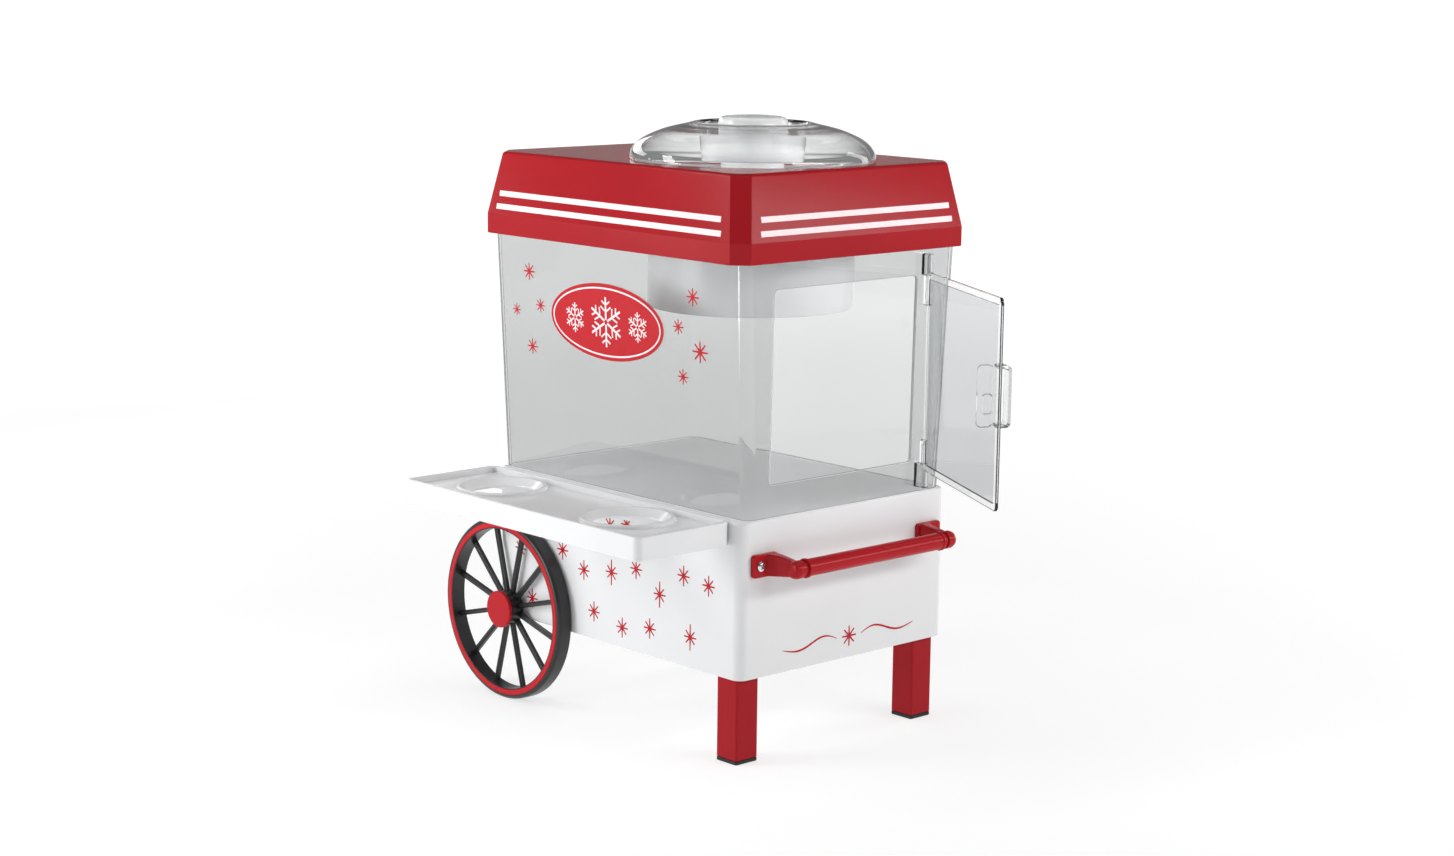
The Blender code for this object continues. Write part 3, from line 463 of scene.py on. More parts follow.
WHITE = moulded_plastic("white_plastic", (0.77, 0.775, 0.785), 0.22)
WHITE_INNER = moulded_plastic("white_inner_plastic", (0.70, 0.705, 0.72), 0.25)
RED = moulded_plastic("red_plastic", (0.36, 0.0125, 0.0180), 0.18, mottle=0.04, gloss=0.08)
RED_BRIGHT = moulded_plastic("bright_red_plastic", (0.41, 0.0130, 0.0190), 0.20, mottle=0.05, gloss=0.10)
BLACK = moulded_plastic("black_plastic", (0.0115, 0.0115, 0.0125), 0.33, mottle=0.15, grain=0.12)
# Painted shade: the hopper's light grey plastic is set darker for the shade it sits in under the lid.
GREY_SHADED = moulded_plastic("grey_plastic", (0.42, 0.43, 0.45), 0.40)
RUBBER = rubber("black_rubber", (0.014, 0.014, 0.015))
# Partly painted shade: the clear walls are tinted darker than the lid, for the grey shade seen through the
# cabinet.
CLEAR = clear_plastic("clear_plastic", (0.74, 0.75, 0.748))
# Painted shade: the round corners darken to the rim tint where they turn away, for the dark edges of clear
# plastic.
CLEAR_CORNER_SHADE = clear_plastic("clear_corner_painted_shade", (0.74, 0.75, 0.748), rim=(0.10, 0.105, 0.11))
# Painted shade: a darker copy of the clear plastic for the door pane's broad faces.
CLEAR_DOOR_SHADED = clear_plastic("clear_door_shaded_plastic", (0.68, 0.69, 0.70))
CLEAR_RIM = clear_plastic("clear_rim_plastic", (0.95, 0.955, 0.955))
CLEAR_LID = clear_plastic("clear_lid_plastic", (0.965, 0.972, 0.97), waviness=0.06)
# Painted light: pale, milky, partly clear plastic for the cabinet's edges and for the lid's well, knob and
# pusher.
EDGE = pale_painted_light("clear_plastic_edge", (0.78, 0.785, 0.79), 0.55)
CLEAR_KNOB = pale_painted_light("clear_knob_plastic", (0.95, 0.955, 0.96), 0.62)
STEEL = worked_metal("steel", (0.56, 0.565, 0.58), 0.30, (1.0, 1.0, 0.08))
STEEL_ROUND = worked_metal("turned_steel", (0.58, 0.585, 0.60), 0.26, (0.08, 1.0, 1.0))
CHROME = worked_metal("bright_steel", (0.74, 0.745, 0.76), 0.16, (1.0, 0.3, 1.0))
INK_RED = printed_ink("red_ink", (0.48, 0.0060, 0.0130))
INK_WHITE = printed_ink("stripe_ink", (0.93, 0.77, 0.79))


# Base, legs and wheels.

def build_base():
    low, high = BASE
    path = rounded_path([
        (WALL, high.z - DECK, 0), (WALL, low.z, 0.0006), (0.0, low.z, 0.0009),
        (0.0, high.z, 0.0022), (0.012, high.z, 0),
    ], steps=6)
    loops = [rounded_rectangle(high.x - inset, high.y - inset, BASE_CORNER - inset, z, 12)
             for inset, z in path]
    show(even(loft("base_tub", loops, WHITE)), "cart", "white_plastic", "base_housing")


def post(name, box, inset, low_round, high_round, material):
    """A square post with slightly round edges. inset is how far its end faces start from its sides."""
    low, high = box
    half = (high.x - low.x) / 2
    centre = ((low.x + high.x) / 2, (low.y + high.y) / 2)
    path = rounded_path([(inset, low.z, 0), (0.0, low.z, low_round), (0.0, high.z, high_round),
                         (inset, high.z, 0)])
    return loft(name, [rounded_rectangle(half - out, half - out, 0.0014 - out / 2, z, 5, centre)
                       for out, z in path], material)


def build_leg(side):
    leg = post("leg_post_" + side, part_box("leg_" + side), 0.0015, 0.0005, 0.0005, RED)
    show(even(leg), "cart", "red_plastic", "leg_" + side)
    foot = post("foot_pad_" + side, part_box("foot_" + side), 0.0020, 0.0006, 0.0003, RUBBER)
    show(even(foot), "cart", "rubber_black", "foot_" + side)


def spoke(bm, angle):
    """One ridged spoke of the wheel, from the hub out into the rim."""
    along = Vector((math.cos(angle), math.sin(angle), 0))
    across = Vector((-math.sin(angle), math.cos(angle), 0))
    section = rounded_path([(-0.0018, 0.0018, 0.0004), (0.0018, 0.0018, 0.0004), (0.0018, 0.0048, 0.0003),
                            (0.0008, 0.0050, 0.0003), (0.0006, 0.0056, 0.0003), (-0.0006, 0.0056, 0.0003),
                            (-0.0008, 0.0050, 0.0003), (-0.0018, 0.0048, 0.0003)], True, 2)
    rings = []
    for reach in (0.0105, RIM_INNER + 0.0012):
        rings.append(add_ring(bm, [along * reach + across * a + Vector((0, 0, h)) for a, h in section]))
    add_bands(bm, rings)
    bm.faces.new(rings[0])
    bm.faces.new(rings[1])


def wheel_mesh(front):
    """The wheel about its own axis, its outer side towards +Z. front is the depth of the rim."""
    groove = front - 0.0008
    groove_in, groove_out = BAND_RADII[0] - 0.0002, BAND_RADII[1] + 0.0002
    rim_path = rounded_path([
        (RIM_INNER, 0.0, 0.0005), (WHEEL_RADIUS, 0.0, 0.0010), (WHEEL_RADIUS, front, 0.0028),
        (groove_out, front, 0.0001), (groove_out, groove, 0.0001), (groove_in, groove, 0.0001),
        (groove_in, front, 0.0001), (RIM_INNER, front, 0.0003),
    ], True, 5)
    wheel = turned("wheel_body", rim_path, BLACK, 120, closed=True)
    bm = bmesh.new()
    for number in range(SPOKES):
        spoke(bm, 2 * math.pi * (number + 0.5) / SPOKES)
    join(wheel, finish_mesh("spokes", bm, BLACK))
    hub_path = rounded_path([(0.0060, 0.0003, 0), (0.0118, 0.0003, 0.0005), (0.0130, front - 0.0006, 0.0004),
                             (0.0080, front - 0.0006, 0)])
    join(wheel, turned("hub", hub_path, BLACK, 64))
    bore_path = [(0.0033, -0.002), (0.0033, 0.0085), (0.0082, 0.0086), (0.0082, front + 0.002)]
    cut(wheel, turned("bore", bore_path, None, 48))
    return wheel


def build_wheels():
    low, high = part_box("wheel_right")
    front = high.y - low.y
    source = wheel_mesh(front)
    for side, sign in (("left", -1), ("right", 1)):
        body = side + "_wheel"
        low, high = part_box("wheel_" + side)
        back_y = high.y if sign < 0 else low.y
        spin = JOINTS[side + "_wheel_spin"]["pos_m"]
        turn = Matrix.Rotation(math.radians(-90 * sign), 4, "X")
        place = Matrix.Translation((spin[0], back_y, spin[2])) @ turn
        wheel = source.copy()
        wheel.name = "wheel_rim_" + side
        wheel.data = source.data.copy()
        bpy.context.scene.collection.objects.link(wheel)
        show(even(moved(wheel, place)), body, "black_plastic", "wheel_" + side)
        inner, outer = BAND_RADII
        band_path = rounded_path([(inner, front - 0.0005, 0.0001), (outer, front - 0.0005, 0.0001),
                                  (outer, front + 0.0002, 0.0003), (inner, front + 0.0002, 0.0003)], True, 3)
        band = moved(turned("rim_band_" + side, band_path, INK_RED, 120, closed=True), place)
        show(even(band), body, "red_plastic", "wheel_stripe_" + side)
        cap_path = rounded_path([(0.0090, front + GAP, 0), (0.0136, front + GAP, 0.0003),
                                 (0.0136, front + 0.0030, 0.0008), (0.0030, front + 0.0032, 0)], steps=5)
        cap = moved(turned("wheel_cap_" + side, cap_path, RED_BRIGHT, 72), place)
        show(even(cap), body, "red_plastic", "hub_cap_" + side)
    bpy.data.objects.remove(source)


# Clear cabinet and its door.

def cabinet_half(z):
    """Half length and half depth of the leaning cabinet walls at a height."""
    share = (z - CABINET[0].z) / (CABINET[1].z - CABINET[0].z)
    return tuple(low + (high - low) * share for low, high in zip(CABINET_HALF_LOW, CABINET_HALF_HIGH))


def knuckle(name, low, high):
    path = rounded_path([(0.0012, low, 0), (HINGE_RADIUS, low, 0.0003), (HINGE_RADIUS, high, 0.0003),
                         (0.0012, high, 0)], steps=2)
    return turned(name, path, None, 40)


def bore_for_pins(piece, axis):
    for pin in ("hinge_pin_upper", "hinge_pin_lower"):
        low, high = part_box(pin)
        bore = [(HINGE_BORE, low.z - 0.001), (HINGE_BORE, high.z + 0.001)]
        cut(piece, moved(turned("bore", bore, None, 32), axis))


def cabinet_sleeve():
    """The four leaning walls, with painted shade on the round corners and pale painted light on the end
    edges.
    """
    low_z, high_z = CABINET[0].z, CABINET[1].z
    path = rounded_path([(0.0, low_z, 0.0004), (0.0, high_z, 0.0004), (WALL, high_z, 0.0004),
                         (WALL, low_z, 0.0004)], True, 3)
    loops = []
    for inset, z in path:
        half = cabinet_half(z)
        loops.append(rounded_rectangle(half[0] - inset, half[1] - inset, CABINET_CORNER - inset, z, 12))
    cabinet = loft("cabinet_sleeve", loops, CLEAR, closed=True)
    cabinet.data.materials.append(CLEAR_CORNER_SHADE)
    cabinet.data.materials.append(EDGE)
    # Round corner faces get the painted shade, the end edges the pale painted light.
    for face in cabinet.data.polygons:
        if abs(face.normal.z) > 0.5:
            face.material_index = 2
        elif min(abs(face.normal.x), abs(face.normal.y)) > 0.04:
            face.material_index = 1
    return cabinet


def doorway_tool():
    """What is cut out of the cabinet's wall, leaning as the wall does and a little wider at its faces."""
    half_y = (DOORWAY_Y[1] - DOORWAY_Y[0]) / 2
    half_z = (DOORWAY_Z[1] - DOORWAY_Z[0]) / 2
    middle_z = sum(DOORWAY_Z) / 2
    middle = Vector((cabinet_half(middle_z)[0] - WALL / 2, sum(DOORWAY_Y) / 2, middle_z))
    lip = 0.0005
    path = rounded_path([(lip * 3, -0.006, 0), (lip, -WALL / 2, 0), (0.0, -WALL / 2 + lip, lip / 2),
                         (0.0, WALL / 2 - lip, lip / 2), (lip, WALL / 2, 0), (lip * 3, 0.006, 0)], steps=4)
    # Its faces become the doorway's edges, in the pale painted light of EDGE.
    doorway = loft("doorway", [rounded_rectangle(half_z + out, half_y + out, DOORWAY_CORNER + out, z, 6)
                               for out, z in path], EDGE)
    lean = Matrix.Identity(4)
    lean[0][2] = (CABINET_HALF_HIGH[0] - CABINET_HALF_LOW[0]) / (CABINET[1].z - CABINET[0].z)
    place = Matrix.Translation(middle) @ lean @ Matrix.Rotation(math.radians(90), 4, "Y")
    return moved(doorway, place)


def build_cabinet():
    cabinet = cabinet_sleeve()
    cut(cabinet, doorway_tool())
    axis = Matrix.Translation((HINGE[0], HINGE[1], 0))
    for low, high in FIXED_KNUCKLES:
        join(cabinet, moved(knuckle("fixed_knuckle", low, high), axis))
        wall_x = cabinet_half(low)[0] - HINGE[0]
        join(cabinet, moved(block("web", (wall_x - 0.0015, -0.0030, low), (0.0, 0.0030, high)), axis))
    bore_for_pins(cabinet, axis)
    show(even(cabinet), "cart", "clear_plastic", "cabinet_window").visible_shadow = False


def door_box(node):
    """A door node's box in the door's own frame: closed along -y, its outer face towards +x."""
    inverse = DOOR_PLACE.inverted()
    points = [inverse @ vertex.co for vertex in frame["nodes"][node].data.vertices]
    return (Vector([min(p[i] for p in points) for i in range(3)]),
            Vector([max(p[i] for p in points) for i in range(3)]))


def pane_loop(low, high, inset, x):
    """A rounded rectangle in the door's plane at x, inset from the pane's edges."""
    half_y = (high[0] - low[0]) / 2 - inset
    half_z = (high[1] - low[1]) / 2 - inset
    centre = ((high[0] + low[0]) / 2, (high[1] + low[1]) / 2)
    return [(x, y, z) for y, z, _ in rounded_rectangle(half_y, half_z, 0.0032 - inset / 2, 0, 8, centre)]


def build_door():
    low, high = door_box("door_panel")
    edge_low = (low.y, low.z)
    edge_high = (-0.0045, high.z)
    inner, outer = DOOR_FACES
    fillet = 0.0004
    border = 0.0046
    steps = [(border + 0.0005, inner + 0.0006), (border, inner), (fillet, inner), (0.0, inner + fillet),
             (0.0, outer - fillet), (fillet, outer), (border, outer), (border + 0.0004, outer - 0.0004)]
    loops = [pane_loop(edge_low, edge_high, inset, x) for inset, x in steps]
    pane = loft("door_pane", loops, CLEAR_RIM, sharp=25)
    # The pane's broad faces take the darker, painted-shade copy; border and edges stay clear.
    pane.data.materials.append(CLEAR_DOOR_SHADED)
    for cap in pane.data.polygons[-2:]:
        cap.material_index = 1
    for low_z, high_z in DOOR_KNUCKLES:
        join(pane, knuckle("door_knuckle", low_z, high_z))
        join(pane, block("leaf", (inner, -0.0080, low_z), (outer, 0.0, high_z)))
    bore_for_pins(pane, Matrix.Identity(4))
    moved(pane, DOOR_PLACE)
    show(even(pane), "door", "clear_plastic", "door_panel").visible_shadow = False
    build_pull()
    build_catch()


def build_pull():
    """The clear bridge beside the door's free edge, with round shoulders."""
    low, high = door_box("door_handle")
    wall = 0.0022
    path = rounded_path([
        (low.x, low.z, 0), (high.x, low.z, 0.0034), (high.x, high.z, 0.0034), (low.x, high.z, 0),
        (low.x, high.z - wall, 0), (high.x - wall, high.z - wall, 0.0018),
        (high.x - wall, low.z + wall, 0.0018), (low.x, low.z + wall, 0),
    ], True, 6)
    pull = loft("door_pull", [[(x, y, z) for x, z in path] for y in (low.y, high.y)], CLEAR_RIM)
    soften(moved(pull, DOOR_PLACE), 0.0004, 2, 50)
    show(pull, "door", "clear_plastic", "door_handle").visible_shadow = False


def flange_loop(low, high, inset, y, radius):
    """A rounded rectangle square to the door, in its own x and z, inset from the box's sides."""
    half_x = (high.x - low.x) / 2 - inset
    half_z = (high.z - low.z) / 2 - inset
    centre = ((high.x + low.x) / 2, (high.z + low.z) / 2)
    return [(x, y, z) for x, z, _ in rounded_rectangle(half_x, half_z, radius - inset, 0, 8, centre)]


def build_catch():
    """The flange that fits inside the doorway, with a raised lip round its slot."""
    low, high = door_box("door_latch")
    edge = 0.0005
    path = [(edge, low.y), (0.0, low.y + edge), (0.0, high.y - edge), (edge, high.y)]
    flange = loft("door_flange", [flange_loop(low, high, inset, y, 0.0030) for inset, y in path], CLEAR_RIM)
    slot_low = Vector((SLOT_CENTRE[0] - SLOT_HALF[0], 0, SLOT_CENTRE[1] - SLOT_HALF[1]))
    slot_high = Vector((SLOT_CENTRE[0] + SLOT_HALF[0], 0, SLOT_CENTRE[1] + SLOT_HALF[1]))
    lip = 0.0009
    rise = 0.0005
    lip_path = [(-lip, high.y - 0.0002), (-lip, high.y + rise - 0.0002), (-lip + 0.0002, high.y + rise),
                (lip, high.y + rise), (lip, high.y - 0.0002)]
    join(flange, loft("lip", [flange_loop(slot_low, slot_high, inset, y, 0.0020)
                              for inset, y in lip_path], None))
    slot_path = [(-edge, low.y - 0.0010), (-edge, low.y), (0.0, low.y + edge), (0.0, high.y + rise - 0.0003),
                 (-0.0003, high.y + rise), (-0.0003, high.y + 0.0030)]
    cut(flange, loft("slot", [flange_loop(slot_low, slot_high, inset, y, 0.0016)
                              for inset, y in slot_path], None))
    moved(flange, DOOR_PLACE)
    show(even(flange), "door", "clear_plastic", "door_latch").visible_shadow = False


# Hood.

def chamfered_loop(half_x, half_y, chamfer, z):
    """A rectangle with cut corners, each of its eight corners slightly round."""
    corners = []
    for sx, sy in ((1, 1), (-1, 1), (-1, -1), (1, -1)):
        pair = [(sx * half_x, sy * (half_y - chamfer), 0.0016),
                (sx * (half_x - chamfer), sy * half_y, 0.0016)]
        corners += pair if sx * sy > 0 else reversed(pair)
    return [(x, y, z) for x, y in rounded_path(corners, True, 4)]


def build_hood():
    low_half = (HOOD[1].x, HOOD[1].y)
    outer = [rounded_path([
        (low - WALL, HOOD[0].z, 0), (low, HOOD[0].z, 0.0008), (low, HOOD_BREAK_Z, 0.0030),
        (high, HOOD[1].z, 0.0026), (high - 0.006, HOOD[1].z, 0),
    ], steps=6) for low, high in zip(low_half, HOOD_HALF_HIGH)]
    ceiling = HOOD[1].z - WALL
    inner = [((low - WALL, HOOD_BREAK_Z), (high - WALL, ceiling))
             for low, high in zip(low_half, HOOD_HALF_HIGH)]
    bm = bmesh.new()
    rings = []
    for (x, z), (y, _) in zip(reversed(inner[0]), reversed(inner[1])):
        rings.append(add_ring(bm, chamfered_loop(x, y, HOOD_CHAMFER - 0.0015, z)))
    rings += [add_ring(bm, chamfered_loop(x, y, HOOD_CHAMFER, z))
              for (x, z), (y, _) in zip(outer[0], outer[1])]
    add_bands(bm, rings)
    lip = rounded_path([(LID_SEAT_RADIUS + 0.003, HOOD[1].z, 0), (LID_SEAT_RADIUS, HOOD[1].z, 0.0009),
                        (LID_SEAT_RADIUS, ceiling, 0)], steps=5)
    seat = [add_ring(bm, circle(radius, z, 120, LID_CENTRE)) for radius, z in lip]
    add_bands(bm, seat)
    add_plate(bm, rings[-1], seat[0])
    add_plate(bm, rings[0], seat[-1])
    hood = finish_mesh("hood_cover", bm, RED)
    for tool in rear_tools():
        cut(hood, tool)
    show(even(hood), "cart", "red_plastic", "hood_shell")
    build_stripes()


def rear_place(y):
    """The frame of a fitting on the hood's -X slope: local z points out of the slope."""
    share = (REAR_SLOPE_Z - HOOD_BREAK_Z) / (HOOD[1].z - HOOD_BREAK_Z)
    x = -(HOOD[1].x + (HOOD_HALF_HIGH[0] - HOOD[1].x) * share)
    return Matrix.Translation((x, y, REAR_SLOPE_Z)) @ Matrix.Rotation(REAR_TILT - math.radians(90), 4, "Y")


def rear_tools():
    window = block("switch_hole", (-0.0100, -0.0065, -0.006), (0.0100, 0.0065, 0.006))
    hole = turned("cord_hole", [(0.0046, -0.006), (0.0046, 0.006)], None, 48)
    return moved(window, rear_place(SWITCH_Y)), moved(hole, rear_place(CORD_Y))


def build_stripes():
    """Two pale stripes printed on each slope of the hood."""
    bm = bmesh.new()
    rise = HOOD[1].z - HOOD_BREAK_Z
    for turn, side, along in ((0, 0, 1), (90, 1, 0), (180, 0, 1), (270, 1, 0)):
        low = (HOOD[1].x, HOOD[1].y)[side]
        run = low - HOOD_HALF_HIGH[side]
        slope = math.hypot(rise, run)
        up = Vector((-run / slope, 0, rise / slope))
        out = Vector((rise / slope, 0, run / slope))
        for z in STRIPE_Z:
            share = (z - HOOD_BREAK_Z) / rise
            foot = Vector((low - run * share, 0, z))
            length = (HOOD[1].x, HOOD[1].y)[along]
            length += (HOOD_HALF_HIGH[along] - length) * share - HOOD_CHAMFER - STRIPE_MARGIN
            rings = []
            for lift in (INK_FOOT, INK):
                points = []
                for u, v in ((-1, -1), (1, -1), (1, 1), (-1, 1)):
                    point = foot + out * lift + up * v * STRIPE_WIDTH / 2 + Vector((0, u * length, 0))
                    points.append(Matrix.Rotation(math.radians(turn), 3, "Z") @ point)
                rings.append(add_ring(bm, points))
            add_bands(bm, rings)
            bm.faces.new(rings[0])
            bm.faces.new(rings[1])
    show(finish_mesh("hood_stripes", bm, INK_WHITE), "cart", "white_plastic")


def build_rear_fittings():
    """Rocker switch in its bezel and the cord's grommet."""
    place = rear_place(SWITCH_Y)
    neck = -0.0110
    shape = [(0.0112, 0.0078, 0.0010, GAP), (0.0112, 0.0078, 0.0010, 0.0010),
             (0.0106, 0.0072, 0.0012, 0.0018), (0.0086, 0.0053, 0.0008, 0.0018),
             (0.0082, 0.0049, 0.0006, 0.0014), (0.0082, 0.0049, 0.0006, neck),
             (0.0097, 0.0062, 0.0006, neck), (0.0097, 0.0062, 0.0006, GAP)]
    loops = [rounded_rectangle(x, y, radius, z, 4) for x, y, radius, z in shape]
    bezel = loft("switch_bezel", loops, BLACK, closed=True)
    show(even(moved(bezel, place)), "cart", "black_plastic", "switch_frame")
    path = rounded_path([
        (0.0026, -0.0090, 0), (0.0042, -0.0090, 0.0003), (0.0042, 0.0003, 0), (0.0070, 0.0003, 0.0003),
        (0.0070, 0.0020, 0.0005), (0.0052, 0.0024, 0.0003), (0.0046, 0.0112, 0), (0.0040, 0.0120, 0.0004),
        (0.0026, 0.0120, 0.0004),
    ], True, 3)
    grommet = turned("cord_grommet", path, BLACK, 64, closed=True)
    for number in range(3):
        z = 0.0045 + 0.0025 * number
        groove = [(0.0042, z), (0.0060, z), (0.0060, z + 0.0011), (0.0042, z + 0.0011)]
        cut(grommet, turned("groove", groove, None, 64, closed=True))
    show(even(moved(grommet, rear_place(CORD_Y))), "cart", "black_plastic", "cord_bushing")


# Drum, hopper and lid.

def build_drum():
    radius = (DRUM[1].x - DRUM[0].x) / 2
    low, high = DRUM[0].z, DRUM[1].z
    path = rounded_path([(radius - WALL, low, 0.0009), (radius, low, 0.0011), (radius, high, 0.0004),
                         (radius - WALL, high, 0.0004)], True, 4)
    drum = turned("chute_drum", path, WHITE_INNER, 128, LID_CENTRE, closed=True)
    show(even(drum), "cart", "white_plastic", "motor_housing")


def build_hopper():
    low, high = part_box("ice_hopper")
    flange = (high.x - low.x) / 2
    path = rounded_path([
        (0.0660, low.z, 0.0005), (0.0660, high.z - 0.0020, 0.0008), (flange, high.z - 0.0020, 0.0006),
        (flange, high.z, 0.0006), (0.0635, high.z, 0.0009), (0.0635, low.z, 0.0005),
    ], True, 4)
    # Darker than its light grey plastic: painted shade.
    hopper = turned("hopper_cup", path, GREY_SHADED, 120, LID_CENTRE, closed=True)
    show(even(hopper), "cart", "grey_plastic", "ice_hopper")


def lid_profile():
    """(radius, z) from the well's floor, up and over the dome, round the rim and back underneath."""
    rim = LID[0].z
    radius = (LID[1].x - LID[0].x) / 2
    under, floor = WELL_FLOOR_Z
    bottom = [(0.0040, floor), (0.0200, floor), (WELL_RADIUS - 0.0016, floor),
              (WELL_RADIUS - 0.0004, floor + 0.0004)]
    outside = smooth_curve([
        (WELL_RADIUS, floor + 0.0016), (0.0346, 0.4090), (0.0362, 0.4150), (0.0374, 0.4215),
        (0.0388, 0.4248), (0.0412, 0.4256), (0.0465, 0.4243), (0.0540, 0.4227), (0.0625, 0.4204),
        (0.0720, 0.4166), (0.0780, 0.4134), (0.0822, 0.4099), (0.0853, 0.4055), (radius, rim + 0.0030),
    ])
    wall = rounded_path([(radius, rim + 0.0030, 0), (radius, rim, 0.0006), (radius - 0.0022, rim, 0.0005),
                         (radius - 0.0022, rim + 0.0026, 0)], steps=4)[1:-1]
    inside = smooth_curve([
        (radius - 0.0022, rim + 0.0026), (0.0830, 0.4043), (0.0803, 0.4080), (0.0766, 0.4112),
        (0.0710, 0.4144), (0.0622, 0.4182), (0.0538, 0.4205), (0.0466, 0.4220), (0.0424, 0.4231),
        (0.0404, 0.4224), (0.0392, 0.4190), (0.0378, 0.4120), (0.0362, 0.4060),
        (WELL_RADIUS + 0.0018, under + 0.0010),
    ])
    well_under = [(WELL_RADIUS + 0.0006, under), (0.0260, under), (0.0040, under)]
    return bottom + outside + wall + inside + well_under


def build_lid():
    lid = turned("lid_cover", lid_profile(), CLEAR_LID, 144, LID_CENTRE)
    # Inside WELL_WALL_RADIUS the lid takes the pale painted light.
    lid.data.materials.append(CLEAR_KNOB)
    for face in lid.data.polygons:
        across = math.hypot(face.center.x - LID_CENTRE[0], face.center.y - LID_CENTRE[1])
        face.material_index = 1 if across < WELL_WALL_RADIUS else 0
    show(even(lid), "lid", "clear_plastic", "lid_dome").visible_shadow = False
    build_grip()
    build_pusher()


def build_grip():
    """The mushroom in the middle of the lid: a waisted stem under a cap with a round edge."""
    floor = WELL_FLOOR_Z[1]
    stem = smooth_curve([(0.0163, floor + GAP), (0.0145, floor + 0.0020), (0.0140, 0.4090), (0.0152, 0.4120),
                         (0.0188, 0.4160), (0.0232, 0.4186)], 5)
    cap = smooth_curve([(0.0238, 0.4190), (0.0244, 0.4204), (0.0245, 0.4230), (0.0242, 0.4258),
                        (0.0232, 0.4280), (0.0208, 0.4292), (0.0150, 0.4299), (0.0090, 0.4302),
                        (0.0030, 0.4303)], 5)
    # Painted pale light, as in the lid's well.
    grip = turned("lid_knob", stem + cap, CLEAR_KNOB, 96, LID_CENTRE)
    show(even(grip), "lid", "clear_plastic", "lid_grip").visible_shadow = False


def build_pusher():
    """The cup under the lid that presses the ice down."""
    low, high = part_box("ice_pusher")
    path = rounded_path([
        (0.0180, 0.3908, 0), (0.0560, low.z, 0.0010), (0.0600, 0.3888, 0.0006), (0.0600, 0.3906, 0.0006),
        (0.0222, 0.3906, 0.0010), (0.0222, high.z, 0.0003), (0.0200, high.z, 0.0003), (0.0200, 0.3920, 0),
    ], steps=3)
    # Painted pale light, as in the lid's well.
    pusher = turned("pusher_cup", path, CLEAR_KNOB, 96, LID_CENTRE)
    show(even(pusher), "lid", "clear_plastic", "ice_pusher").visible_shadow = False


# Cup shelf and push bar.

def cup_collar():
    """(radius, z) from the shelf's floor, over the collar, down the funnel and back up under it."""
    under, floor = SHELF_FLOOR_Z
    top = floor + 0.0027
    bottom = under - 0.0010
    return rounded_path([
        (0.0345, floor, 0), (0.0325, floor, 0.0009), (0.0325, top, 0.0011), (0.0292, top, 0.0012),
        (0.0242, bottom + 0.0010, 0.0006), (0.0240, bottom, 0.0004), (0.0264, bottom, 0.0006),
        (0.0272, under, 0.0006), (0.0300, under, 0),
    ], steps=4)


def build_shelf():
    low, high = SHELF
    centre = ((low.x + high.x) / 2, (low.y + high.y) / 2)
    half = ((high.x - low.x) / 2, (high.y - low.y) / 2)
    under, floor = SHELF_FLOOR_Z
    rim = 0.0030
    path = rounded_path([
        (rim + 0.0020, floor, 0), (rim, floor, 0.0007), (rim, high.z, 0.0009), (0.0, high.z, 0.0012),
        (0.0, low.z, 0.0008), (WALL, low.z, 0.0007), (WALL, under, 0.0008), (WALL + 0.002, under, 0),
    ], steps=4)
    bm = bmesh.new()
    rings = []
    for inset, z in path:
        corner = 0.0055 - inset * 0.6
        rings.append(add_ring(bm, rounded_rectangle(half[0] - inset, half[1] - inset, corner, z, 8, centre)))
    add_bands(bm, rings)
    tops, bottoms = [], []
    for x in CUP_HOLE_X:
        collar = [add_ring(bm, circle(radius, z, 96, (x, CUP_HOLE_Y))) for radius, z in cup_collar()]
        add_bands(bm, collar)
        tops.append(collar[0])
        bottoms.append(collar[-1])
    add_plate(bm, rings[0], *tops)
    add_plate(bm, rings[-1], *bottoms)
    show(even(finish_mesh("shelf_tray", bm, WHITE)), "cart", "white_plastic", "cup_shelf")


def build_bar():
    centre = (BAR[0] + BAR[1]) / 2
    place = Matrix.Translation(centre) @ Matrix.Rotation(math.radians(90), 4, "X")
    end = (BAR[1].y - BAR[0].y) / 2
    right = rounded_path([
        (BAR_RADIUS, 0.0630, 0), (BAR_RADIUS, 0.0638, 0.0003), (0.0067, 0.0641, 0.0004),
        (0.0067, 0.0665, 0.0005), (0.0050, 0.0667, 0.0002), (0.0050, 0.0694, 0.0001),
        (0.0040, 0.0694, 0.0001), (0.0040, end, 0),
    ], steps=3)
    profile = [(radius, -y) for radius, y in reversed(right)] + right
    bar = turned("push_bar", profile, RED_BRIGHT, 64)
    show(even(moved(bar, place)), "cart", "red_plastic", "handle_bar")
    for side, sign in (("left", -1), ("right", 1)):
        build_bracket(side, sign, centre)
        build_screw(side)


